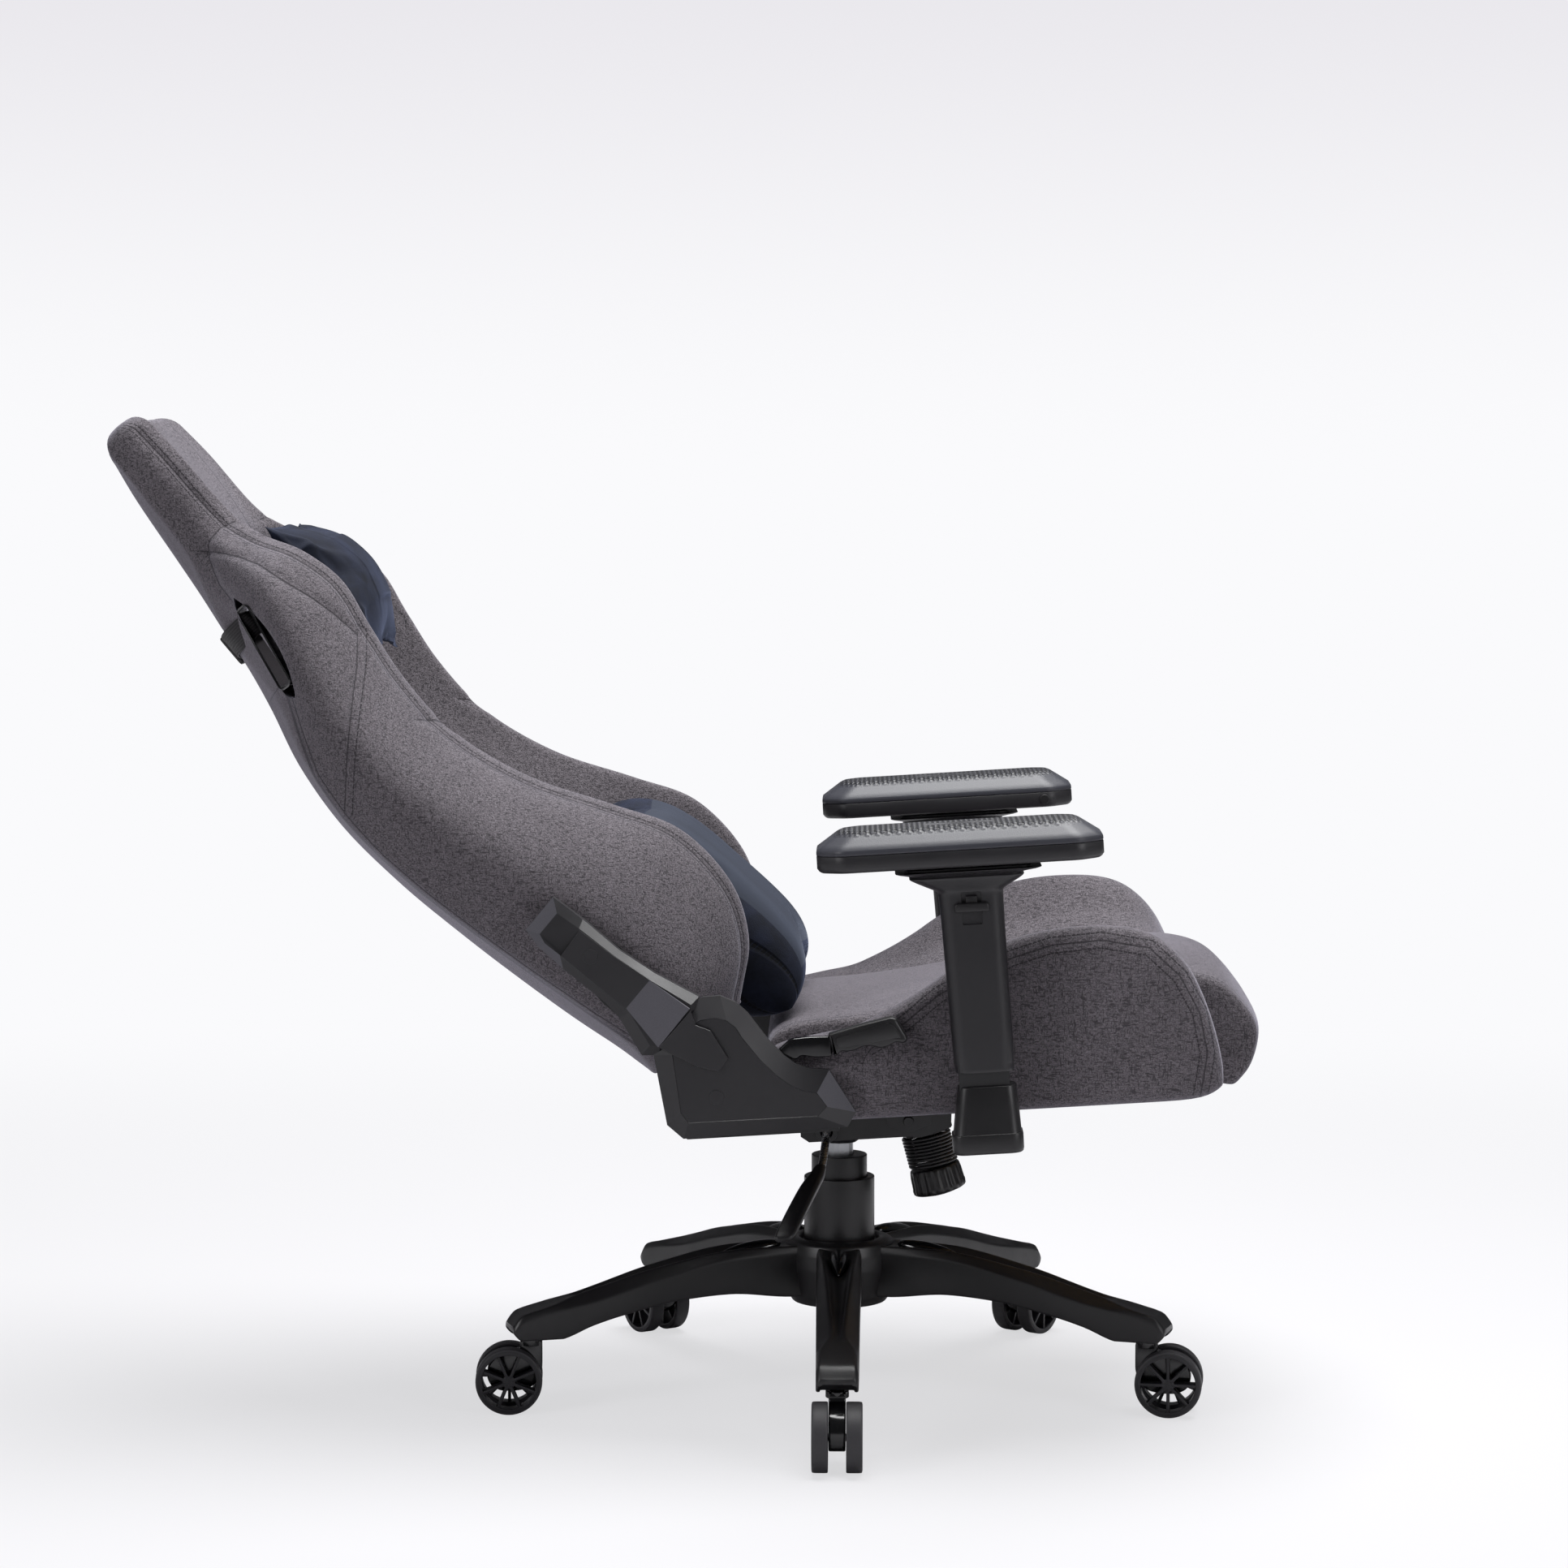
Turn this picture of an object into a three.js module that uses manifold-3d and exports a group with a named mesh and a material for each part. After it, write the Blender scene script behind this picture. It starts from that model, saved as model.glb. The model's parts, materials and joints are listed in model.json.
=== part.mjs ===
// Reclining gaming chair on a five-star base, as an assembly of separate parts.
// Millimetres, +Z up. The sitter faces -Y and the sitter's right hand is at -X.
// Side outlines are drawn as [forward, up] pairs, so forward is -Y.
import * as THREE from 'three';
import { mergeVertices } from 'three/addons/utils/BufferGeometryUtils.js';
import Module from 'manifold-3d';

const wasm = await Module();
wasm.setup();

// ---- driving dimensions -------------------------------------------------------------------

const gap = 0.3; // between pieces that touch
const runningGap = 0.4; // between pieces that slide or turn in each other

// five-star base and gas lift
const legCount = 5;
const legTipRadius = 341;
const legTopHeight = 153; // at the hub
const legBottomHeight = 106;
const legTipHeight = 73; // underside of the tip
const legWidth = 46;
const legTipWidth = 40;
const legWall = 4;
const hubRadius = 57;
const hubBottom = legBottomHeight - 14;
const hubSeat = legTopHeight - 2; // ledge that carries the telescopic cover
const cylinderRadius = 25;
const cylinderTop = 214;
const pistonRadius = 14;
const liftStroke = 80;
const lowerCoverRadius = 35.5;
const lowerCoverTop = 219;
const middleCoverRadius = 28;
const middleCoverTop = 241;
const coverWall = 2;

// twin-wheel casters
const wheelRadius = 33;
const wheelWidth = 15.5;
const wheelGap = 17; // between the two wheels of a caster
const treadThickness = 5;
const spokeCount = 8;
const spokeWidth = 3.4;
const wheelHubRadius = 6.5;
const axleRadius = 4;
const stemOrbit = 320; // caster stems from the lift axis
const stemRadius = 5.5;
const casterTrail = 22; // axle behind the stem
const casterHeadings = [0, 11, 2, -2, -14]; // degrees off the leg's own direction

// tilt mechanism
const mechanismHeight = 265; // origin of the seat frame, over the gas lift
const seatPitch = 3.5; // degrees, front edge up
const housingHalfWidth = 54;
const housingWall = 3;
const socketRadius = 21;
const tiltAxle = [70, 14];
const tiltAxleRadius = 5;
const springAngle = 11.2; // degrees, spring axis off the seat's normal
const springStation = 88;
const springRadius = 21;
const springWire = 2.6;
const springCoils = 9;
const springPitch = 3.5;
const springSeatRadius = 25;
const springSeatDrop = 7;
const boltRadius = 5;
const knobTopRadius = 24;
const knobBottomRadius = 26;
const knobLength = 34;
const knobFlutes = 18;

// seat
const seatBottom = 48; // underside of the bolsters over the mechanism's origin
const plateThickness = 4.5;
const boardThickness = 9.5;
const boardHalfWidth = 158;
const boardFront = 326;
const boardRear = -50;
const cushionHalfWidth = 165;
const crestStation = 236; // |x| of the bolster's crest
const bolsterHalfWidth = 253;

// recliner
const pivot = [-119, 132]; // recline axis in the seat frame
const reclineAtRest = 36.5; // degrees of the back from the seat's normal
const bracketInner = 255.4; // |x| where the recliner's plates begin
const bracketPlate = 3.8;
const leverPlate = 3.6;
const fixedPlate = 3.8;
const coverInner = bracketInner + bracketPlate + leverPlate + fixedPlate + 4 * gap;
const coverFace = 284; // |x| of the lower cover's flat face
const coverBevel = 13;
const humpCentre = [-112, 120];
const humpRadius = 57;
const tongueThickness = 4.5;
const upperCoverFace = 281;
const upperCoverBevel = 9;
const leverPin = [-66, 110];
const shaftRadius = 8;

// back
const centreHalfWidth = 112; // the middle panel; the wings lie outside it
const slotCentre = [-95, 565]; // [forward, up] in the back's own frame
const slotWidth = 22;
const slotLength = 112;
const slotLean = 6; // degrees
const trimWall = 2;
const strapWidth = 26;
const strapThickness = 2.4;
const strapHeight = 592;

// armrests
const armClearance = 20.6; // between the bolster and the column
const armStation = 142.5;
const postWidth = 47;
const postDepth = 26;
const sleeveWall = 3.4;
const armSpan = bolsterHalfWidth + armClearance + postDepth / 2 + sleeveWall; // column axis
const sleeveBottom = 96;
const sleeveTop = 262;
const neckTop = 287.5;
const armBarInner = 120; // |x| where the bar under the seat begins
const armBarThickness = 5.6;
const padPlate = 2.3;
const padLength = 266;
const padWidth = 98;
const padBottom = neckTop + 2 * padPlate + 3 * gap;
const padSeam = 309;
const padTop = 330;
const padForward = 132; // pad centre in the seat frame
const bootTop = 80;
const bootBottom = 20;
const bootFlare = 6;

// ---- finishes -----------------------------------------------------------------------------

function finish(color, roughness, metalness) {
  return () => new THREE.MeshStandardMaterial({ color, roughness, metalness });
}

const greyFabric = finish(0x4d4a4e, 0.95, 0);
const navyVelour = finish(0x1b2130, 0.9, 0);
const slateCloth = finish(0x2c3544, 0.85, 0);
const matteNylon = finish(0x19191b, 0.6, 0);
const matteCover = finish(0x26272b, 0.6, 0);
const glossPlastic = finish(0x0b0b0d, 0.15, 0);
const padRubber = finish(0x23262c, 0.5, 0);
const blackSteel = finish(0x141416, 0.4, 0.9);
const brightSteel = finish(0x6f7276, 0.25, 1);
const castorTread = finish(0x3a3b3d, 0.75, 0);
const plywood = finish(0x8a6b46, 0.8, 0);
const webbing = finish(0x1d1c1d, 0.9, 0);

// ---- geometry helpers ---------------------------------------------------------------------

const rad = THREE.MathUtils.degToRad;

function toSolid(geometry) {
  const plain = geometry.clone();
  plain.deleteAttribute('normal');
  plain.deleteAttribute('uv');
  const merged = mergeVertices(plain, 1e-4);
  const mesh = new wasm.Mesh({
    numProp: 3,
    vertProperties: Float32Array.from(merged.attributes.position.array),
    triVerts: Uint32Array.from(merged.index.array),
  });
  return new wasm.Manifold(mesh);
}

function toGeometry(solid) {
  const mesh = solid.getMesh();
  const geometry = new THREE.BufferGeometry();
  geometry.setAttribute('position', new THREE.BufferAttribute(Float32Array.from(mesh.vertProperties), 3));
  geometry.setIndex(new THREE.BufferAttribute(Uint32Array.from(mesh.triVerts), 1));
  return geometry;
}

function join(...geometries) {
  return toGeometry(geometries.map(toSolid).reduce((a, b) => a.add(b)));
}

function cut(body, ...tools) {
  return toGeometry(tools.map(toSolid).reduce((a, b) => a.subtract(b), toSolid(body)));
}

function common(a, b) {
  return toGeometry(toSolid(a).intersect(toSolid(b)));
}

// turns the faces outwards if the enclosed volume comes out negative
function outward(geometry) {
  const p = geometry.attributes.position;
  const index = geometry.index.array;
  const [a, b, c] = [new THREE.Vector3(), new THREE.Vector3(), new THREE.Vector3()];
  let volume = 0;
  for (let i = 0; i < index.length; i += 3) {
    a.fromBufferAttribute(p, index[i]);
    b.fromBufferAttribute(p, index[i + 1]);
    c.fromBufferAttribute(p, index[i + 2]);
    volume += a.dot(b.cross(c));
  }
  if (volume < 0) {
    for (let i = 0; i < index.length; i += 3) [index[i], index[i + 1]] = [index[i + 1], index[i]];
  }
  return geometry;
}

function box(width, depth, height, x = 0, y = 0, z = 0) {
  return new THREE.BoxGeometry(width, depth, height).translate(x, y, z);
}

// upright cylinder or cone frustum between two heights
function post(radiusLow, radiusHigh, low, high, sides = 24) {
  const geometry = new THREE.CylinderGeometry(radiusHigh, radiusLow, high - low, sides);
  return geometry.rotateX(Math.PI / 2).translate(0, 0, (low + high) / 2);
}

// rod along X between two stations
function rod(radius, from, to, sides = 16) {
  const geometry = new THREE.CylinderGeometry(radius, radius, Math.abs(to - from), sides);
  return geometry.rotateZ(Math.PI / 2).translate((from + to) / 2, 0, 0);
}

// revolves a closed [radius, height] loop round the Z axis
function ring(profile, sides = 24) {
  const loop = [...profile, profile[0]].map(([r, z]) => new THREE.Vector2(r, z));
  return outwardOf(new THREE.LatheGeometry(loop, sides).rotateX(Math.PI / 2));
}

function outwardOf(geometry) {
  const plain = geometry.clone();
  plain.deleteAttribute('normal');
  plain.deleteAttribute('uv');
  return outward(mergeVertices(plain, 1e-4));
}

function shapeOf(points) {
  return new THREE.Shape(points.map(([a, b]) => new THREE.Vector2(a, b)));
}

// slab between two |x| stations from a [forward, up] outline; side is -1 for the sitter's right
function slab(outline, inner, outer, side, bevel = 0, bevelHeight = bevel) {
  const shape = outline instanceof THREE.Shape ? outline : shapeOf(outline);
  const options = {
    depth: outer - inner - bevelHeight,
    steps: 1,
    curveSegments: 6,
    bevelEnabled: bevel > 0,
    bevelSize: bevel,
    bevelThickness: bevelHeight,
    bevelOffset: -bevel,
    bevelSegments: 1,
  };
  let geometry = new THREE.ExtrudeGeometry(shape, options);
  if (bevel > 0) {
    // only the outer face keeps its bevel
    geometry.computeBoundingBox();
    const { min, max } = geometry.boundingBox;
    const reach = 3 * Math.max(-min.x, -min.y, max.x, max.y);
    const half = new THREE.BoxGeometry(reach, reach, 2 * (outer - inner)).translate(0, 0, outer - inner);
    geometry = common(geometry, half);
  }
  geometry = outwardOf(geometry);
  const basis = new THREE.Matrix4().makeBasis(
    new THREE.Vector3(0, -1, 0),
    new THREE.Vector3(0, 0, 1),
    new THREE.Vector3(side, 0, 0),
  );
  geometry.applyMatrix4(basis).translate(side * inner, 0, 0);
  return outward(geometry);
}

// flat slab lying level between two heights from an [x, forward] outline
function level(outline, low, high) {
  const shape = outline instanceof THREE.Shape ? outline : shapeOf(outline);
  const geometry = new THREE.ExtrudeGeometry(shape, { depth: high - low, bevelEnabled: false, curveSegments: 5 });
  return outwardOf(geometry.scale(1, -1, 1).translate(0, 0, low));
}

function roundedRect(width, height, radius, cx = 0, cy = 0, steps = 3) {
  const points = [];
  const corners = [[1, 1, 0], [-1, 1, 90], [-1, -1, 180], [1, -1, 270]];
  for (const [sx, sy, start] of corners) {
    for (let i = 0; i <= steps; i++) {
      const a = rad(start + (90 * i) / steps);
      const x = cx + sx * (width / 2 - radius) + radius * Math.cos(a);
      const y = cy + sy * (height / 2 - radius) + radius * Math.sin(a);
      points.push([x, y]);
    }
  }
  return points;
}

// skins closed rings of equally many points, and caps both ends
function loft(rings) {
  const count = rings[0].length;
  const positions = rings.flat(2);
  const index = [];
  for (let r = 0; r < rings.length - 1; r++) {
    for (let i = 0; i < count; i++) {
      const a = r * count + i;
      const b = r * count + ((i + 1) % count);
      index.push(a, b, a + count, b, b + count, a + count);
    }
  }
  for (const r of [0, rings.length - 1]) {
    const flat = flatten(rings[r]);
    const reversed = r === 0;
    for (const [a, b, c] of THREE.ShapeUtils.triangulateShape(flat, [])) {
      const [i, j, k] = [a, b, c].map((n) => n + r * count);
      if (reversed) index.push(k, j, i);
      else index.push(i, j, k);
    }
  }
  const geometry = new THREE.BufferGeometry();
  geometry.setAttribute('position', new THREE.Float32BufferAttribute(positions, 3));
  geometry.setIndex(index);
  return outward(geometry);
}

// a ring's points in its own plane, counter-clockwise about the direction in which rings follow
function flatten(points) {
  const v = points.map((p) => new THREE.Vector3(...p));
  const normal = new THREE.Vector3();
  for (let i = 0; i < v.length; i++) {
    normal.add(new THREE.Vector3().crossVectors(v[i], v[(i + 1) % v.length]));
  }
  normal.normalize();
  const u = new THREE.Vector3().subVectors(v[1], v[0]).normalize();
  const w = new THREE.Vector3().crossVectors(normal, u);
  return v.map((p) => new THREE.Vector2(p.dot(u), p.dot(w)));
}

// smooth curve through [station, value] rows, read at any station
function blend(rows, at) {
  const last = rows.length - 1;
  let i = 0;
  while (i < last - 1 && rows[i + 1][0] < at) i++;
  const slope = (k) => {
    const [a, b] = [rows[Math.max(k - 1, 0)], rows[Math.min(k + 1, last)]];
    return (b[1] - a[1]) / (b[0] - a[0]);
  };
  const [x0, y0] = rows[i];
  const [x1, y1] = rows[i + 1];
  const h = x1 - x0;
  const t = THREE.MathUtils.clamp((at - x0) / h, 0, 1);
  const [t2, t3] = [t * t, t * t * t];
  const fromStart = (2 * t3 - 3 * t2 + 1) * y0 + (t3 - 2 * t2 + t) * h * slope(i);
  return fromStart + (3 * t2 - 2 * t3) * y1 + (t3 - t2) * h * slope(i + 1);
}

// evenly spaced points on a smooth open curve through the given pairs
function smooth(pairs, count) {
  const curve = new THREE.CatmullRomCurve3(
    pairs.map(([a, b]) => new THREE.Vector3(a, b, 0)),
    false,
    'centripetal',
  );
  return curve.getSpacedPoints(count - 1).map((p) => [p.x, p.y]);
}

function piece(name, geometry, material) {
  const mesh = new THREE.Mesh(geometry, material());
  mesh.name = name;
  return mesh;
}

// a moving group with its origin on its joint; the children are drawn in the parent's frame
function moving(name, [x, forward, up], ...children) {
  const joint = new THREE.Group();
  joint.name = name;
  joint.position.set(x, -forward, up);
  const drawn = new THREE.Group();
  drawn.position.set(-x, forward, -up);
  drawn.add(...children);
  joint.add(drawn);
  return joint;
}

// ---- five-star base -----------------------------------------------------------------------

// leg section at a radius: an inverted trough with two channels along its top
function legSection(radius) {
  const reach = legTipRadius - radius;
  const top = blend([
    [40, legTopHeight],
    [108, legTopHeight + 1],
    [195, legTopHeight - 13],
    [285, legTipHeight + 42],
    [330, legTipHeight + 32],
    [legTipRadius, legTipHeight + 22],
  ], radius);
  const bottom = blend([
    [40, legBottomHeight - 8],
    [120, legBottomHeight],
    [210, legBottomHeight - 9],
    [295, legTipHeight - 1],
    [legTipRadius, legTipHeight],
  ], radius);
  const half = THREE.MathUtils.lerp(legTipWidth, legWidth, reach / legTipRadius) / 2;
  const channel = radius > 290 ? 0.5 : 4;
  const ceiling = radius > 270 ? bottom + 2 : top - 4 - legWall;
  const right = [
    [half - legWall, bottom],
    [half, bottom],
    [half, top - 9],
    [half * 0.8, top - 1],
    [half * 0.62, top - 1],
    [half * 0.5, top - channel],
    [half * 0.28, top - channel],
    [half * 0.2, top],
  ];
  const left = right.map(([w, z]) => [-w, z]).reverse();
  const inside = [[-(half - legWall), ceiling], [half - legWall, ceiling]];
  return [...right, ...left, ...inside].map(([w, z]) => [radius, w, z]);
}

function leg() {
  const stations = [44, 120, 195, 271, 290, 318, legTipRadius];
  const rings = stations.map(legSection);
  const nose = rings.at(-1);
  for (const p of nose) p[2] = Math.min(p[2], legTipHeight + 20);
  return loft(rings);
}

function starBase() {
  const hub = ring([
    [cylinderRadius + gap, hubBottom],
    [hubRadius - 9, hubBottom],
    [hubRadius - 5, hubBottom + 8],
    [hubRadius, legTopHeight - 10],
    [hubRadius - 3, legTopHeight + 3],
    [hubRadius - 12, legTopHeight + 5],
    [lowerCoverRadius + 5, legTopHeight + 5],
    [lowerCoverRadius + 3, hubSeat],
    [cylinderRadius + gap, hubSeat],
  ], 20);
  const socket = post(stemRadius + runningGap, stemRadius + runningGap, legTipHeight - 5, legTipHeight + 21, 10);
  const boss = post(stemRadius + 6, stemRadius + 6, legTipHeight, legTipHeight + 24, 10);
  let body = toSolid(hub);
  const reamed = toSolid(socket.translate(stemOrbit, 0, 0));
  const carrier = toSolid(leg()).add(toSolid(boss.translate(stemOrbit, 0, 0))).subtract(reamed);
  for (let i = 0; i < legCount; i++) {
    const turn = 180 + (360 * i) / legCount;
    body = body.add(carrier.rotate([0, 0, turn]));
  }
  const bore = post(cylinderRadius + gap, cylinderRadius + gap, hubBottom - 5, hubSeat + 5, 20);
  return toGeometry(body.subtract(toSolid(bore)));
}

function gasLift() {
  const cylinderFloor = hubBottom + 8;
  const cylinder = ring([
    [0.01, cylinderFloor],
    [cylinderRadius - 2, cylinderFloor],
    [cylinderRadius, cylinderFloor + 3],
    [cylinderRadius, cylinderTop],
    [pistonRadius + runningGap, cylinderTop],
    [pistonRadius + runningGap, cylinderFloor + 12],
    [0.01, cylinderFloor + 12],
  ], 20);
  const lower = ring([
    [lowerCoverRadius - coverWall, hubSeat + gap],
    [lowerCoverRadius, hubSeat + gap],
    [lowerCoverRadius, lowerCoverTop - 1],
    [lowerCoverRadius - 1, lowerCoverTop],
    [middleCoverRadius + runningGap, lowerCoverTop],
    [middleCoverRadius + runningGap, lowerCoverTop - 2],
    [lowerCoverRadius - coverWall, lowerCoverTop - 4],
  ], 16);
  const middle = ring([
    [middleCoverRadius - coverWall, hubSeat + gap],
    [middleCoverRadius, hubSeat + gap],
    [middleCoverRadius, middleCoverTop - 1],
    [middleCoverRadius - 1, middleCoverTop],
    [pistonRadius + runningGap, middleCoverTop],
    [pistonRadius + runningGap, middleCoverTop - 2],
    [middleCoverRadius - coverWall, middleCoverTop - 4],
  ], 16);
  return [
    piece('gas_cylinder', cylinder, blackSteel),
    piece('cover_lower', lower, matteNylon),
    piece('cover_middle', middle, matteNylon),
  ];
}

// ---- casters ------------------------------------------------------------------------------

// the hood that carries the axle; the caster's own frame has its stem on Z and trails along +X
function casterHood() {
  const axleHeight = wheelRadius;
  const neck = stemRadius + 5.5;
  const outline = [
    [-neck, legTipHeight - gap],
    [-neck, 46],
    [-neck + 4, 35],
    [2, 27],
    [casterTrail - 10, 23],
    [casterTrail, 22],
    [casterTrail + 9, 26],
    [casterTrail + 13, axleHeight],
    [casterTrail + 11, 43],
    [casterTrail + 2, 52],
    [neck, 60],
    [neck, legTipHeight - gap],
  ];
  const width = wheelGap - 3;
  const web = new THREE.ExtrudeGeometry(shapeOf(outline), { depth: width, bevelEnabled: false });
  web.rotateX(Math.PI / 2).translate(0, width / 2, 0);
  const collar = post(neck, neck, 2 * wheelRadius + 1, legTipHeight - gap, 12);
  const stem = post(stemRadius, stemRadius, legTipHeight - 3, legTipHeight + 18, 10);
  const eye = rod(axleRadius + runningGap, -20, 20, 12).rotateZ(Math.PI / 2).translate(casterTrail, 0, axleHeight);
  return cut(join(web, collar, stem), eye);
}

// two spoked wheels on their axle, about Y
function wheelPair() {
  const half = wheelWidth / 2;
  const inner = wheelRadius - treadThickness;
  const tread = ring([
    [inner, -half],
    [wheelRadius, -half],
    [wheelRadius, half],
    [inner, half],
  ], 16);
  const parts = [tread, post(wheelHubRadius, wheelHubRadius, -half, half - 1, 8)];
  for (let i = 0; i < spokeCount; i++) {
    const reach = inner - 2;
    const spoke = box(reach, spokeWidth, 6, reach / 2 + 3, 0, half - 4.5);
    parts.push(spoke.rotateZ((2 * Math.PI * i) / spokeCount));
  }
  const wheel = join(...parts).translate(0, 0, wheelGap / 2 + half);
  const other = wheel.clone().rotateX(Math.PI);
  const axle = post(axleRadius, axleRadius, -wheelGap / 2 - 4, wheelGap / 2 + 4, 8);
  return join(wheel, other, axle).rotateX(Math.PI / 2);
}

function caster(number, legAngle, heading) {
  const swivel = new THREE.Group();
  swivel.name = `caster_swivel_${number}`;
  swivel.position.set(stemOrbit * Math.cos(legAngle), stemOrbit * Math.sin(legAngle), 0);
  swivel.rotation.z = legAngle + rad(heading);
  swivel.add(piece(`caster_hood_${number}`, casterHood(), glossPlastic));
  const spin = new THREE.Group();
  spin.name = `wheel_spin_${number}`;
  spin.position.set(casterTrail, 0, wheelRadius);
  spin.add(piece(`caster_wheels_${number}`, wheelPair(), castorTread));
  swivel.add(spin);
  return swivel;
}

// ---- tilt mechanism -----------------------------------------------------------------------

// pressed-steel tray with the lift's taper socket and the spring's seat
function tiltHousing() {
  const outline = [[-38, 4], [-30, -2], [84, -2], [112, 5], [114, 27], [60, 27], [14, 20], [-38, 15]];
  const inside = [[-34, 6], [-28, 1], [83, 1], [108, 7], [110, 40], [-34, 40]];
  const tray = slab(outline, -housingHalfWidth, housingHalfWidth, 1);
  const hollow = slab(inside, -housingHalfWidth + housingWall, housingHalfWidth - housingWall, 1);
  const socket = post(socketRadius, socketRadius, -6, 17, 12);
  const bush = post(pistonRadius + 4, 30, -11, -2, 12);
  const bore = post(pistonRadius + gap, pistonRadius + gap, -20, 15.6, 16);
  const upright = (geometry) => geometry.rotateX(rad(seatPitch));
  const seatRing = springPlace(post(springSeatRadius, springSeatRadius, -springSeatDrop, 6, 14));
  const boltHole = springPlace(post(boltRadius + runningGap, boltRadius + runningGap, -20, 30, 12));
  const axleHole = rod(tiltAxleRadius + runningGap, -80, 80).translate(0, -tiltAxle[0], tiltAxle[1]);
  const leverHole = rod(9, -80, -32).translate(0, -leverPath[0][1], leverPath[0][2]);
  let body = cut(tray, hollow);
  body = join(body, upright(socket), upright(bush), seatRing);
  return cut(body, upright(bore), boltHole, axleHole, leverHole);
}

// moves something drawn about the spring's own axis, top at zero, to its place under the housing
function springPlace(geometry) {
  return geometry.rotateX(rad(-springAngle)).translate(0, -springStation, 0);
}

// one unbroken helix with closed ends, hung between its seat and the knob
function tensionSpring() {
  const top = -springSeatDrop - gap - springWire / 2;
  const stepsPerTurn = 8;
  const steps = springCoils * stepsPerTurn;
  const points = [];
  for (let i = 0; i <= steps; i++) {
    const a = (2 * Math.PI * i) / stepsPerTurn;
    const z = top - (springPitch * i) / stepsPerTurn;
    points.push(new THREE.Vector3(springRadius * Math.cos(a), springRadius * Math.sin(a), z));
  }
  const sides = 4;
  const rings = points.map((p, i) => {
    const a = (2 * Math.PI * i) / stepsPerTurn;
    const outer = new THREE.Vector3(Math.cos(a), Math.sin(a), 0);
    const section = [];
    for (let k = 0; k < sides; k++) {
      const b = (2 * Math.PI * k) / sides;
      const q = p.clone().addScaledVector(outer, (springWire / 2) * Math.cos(b));
      section.push([q.x, q.y, q.z + (springWire / 2) * Math.sin(b)]);
    }
    return section;
  });
  console.log(`spring: least gap between turns ${leastTurnGap(points, stepsPerTurn).toFixed(2)} mm`);
  return springPlace(loft(rings));
}

// clear space between a turn of the helix and the turns beside it
function leastTurnGap(points, stepsPerTurn) {
  let least = Infinity;
  for (let i = 0; i < points.length; i++) {
    for (let j = i + stepsPerTurn / 2; j < points.length; j++) {
      least = Math.min(least, points[i].distanceTo(points[j]) - springWire);
    }
  }
  return least;
}

const springLength = springCoils * springPitch + springWire;
const knobTop = -springSeatDrop - springLength - 2 * gap;

function tensionKnob() {
  const profile = [];
  const steps = knobFlutes * 2;
  const rings = [];
  const bottom = knobTop - knobLength;
  const levels = [
    [knobTop, knobTopRadius - 2, 0],
    [knobTop - 7, knobTopRadius, 1],
    [bottom + 4, knobBottomRadius, 1],
    [bottom, knobBottomRadius - 1.5, 0],
    [bottom - 3, knobBottomRadius * 0.6, 0],
  ];
  for (const [z, radius, fluted] of levels) {
    const points = [];
    for (let i = 0; i < steps; i++) {
      const a = (2 * Math.PI * i) / steps;
      const r = radius - (i % 2) * 1.3 * fluted;
      points.push([r * Math.cos(a), r * Math.sin(a), z]);
    }
    rings.push(points);
  }
  const bolt = post(boltRadius, boltRadius, knobTop - 4, 10, 12);
  return springPlace(join(loft(rings), bolt));
}

// plate under the seat, with two ears round the housing and the axle between them
function seatPlate() {
  const top = seatBottom - gap;
  const plate = level(roundedRect(190, 200, 12, 0, 25), top - plateThickness, top);
  const ear = [[40, top - 2], [100, top - 2], [92, 10], [tiltAxle[0], 3], [50, 10]];
  const earInner = housingHalfWidth + runningGap;
  const ears = [1, -1].map((side) => slab(ear, earInner, earInner + 4, side));
  const axle = rod(tiltAxleRadius, -earInner - 7, earInner + 7).translate(0, -tiltAxle[0], tiltAxle[1]);
  return join(plate, ...ears, axle);
}

const leverThickness = 8;
const leverBall = 5.8;

// bent rod with a moulded paddle; reaches out on the sitter's right
const leverPath = [[-51, -12, 8], [-92, -12, 10], [-128, -13, 6], [-148, -17, -10], [-166, -24, -24]];

// bush in the housing's wall; the rod's end pivots in its flared socket
function leverBlock() {
  const [, s, h] = leverPath[0];
  const bush = join(rod(8.6, -60, -34), rod(11, -60, -housingHalfWidth - gap, 16));
  return cut(bush, rod(leverBall + gap, -64, -44, 24)).translate(0, -s, h);
}

function leverRod(thickness) {
  const curve = new THREE.CatmullRomCurve3(leverPath.map(([x, s, h]) => new THREE.Vector3(x, -s, h)));
  const section = shapeOf(roundedRect(thickness, thickness, thickness * 0.49, 0, 0, 2));
  const options = { steps: 9, extrudePath: curve, bevelEnabled: false };
  const [x, s, h] = leverPath[0];
  const ball = new THREE.SphereGeometry(leverBall, 10, 6).translate(x, -s, h);
  return join(outwardOf(new THREE.ExtrudeGeometry(section, options)), ball);
}

function leverGrip() {
  const width = 24;
  const stations = [
    [-150, -18.5, -11.5, 12, 12],
    [-158, -21, -18, 17, 13],
    [-172, -26, -27, 22, 13],
    [-200, -36, -45, width, 10],
    [-226, -45, -61, width, 8],
    [-232, -47, -65, width - 6, 5],
  ];
  const rings = stations.map(([x, s, h, w, t]) => {
    const lean = rad(32);
    return roundedRect(w, t, Math.min(w, t) * 0.35, 0, 0, 1).map(([a, b]) => {
      const out = b * Math.sin(lean);
      return [x - out, -s - a, h + b * Math.cos(lean)];
    });
  });
  const tip = new THREE.SphereGeometry(leverThickness / 2 + 1, 8, 6);
  const [x, s, h] = leverPath.at(-1);
  return cut(loft(rings), leverRod(leverThickness + 2 * gap), tip.translate(x, -s, h));
}

// ---- seat ---------------------------------------------------------------------------------

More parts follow.
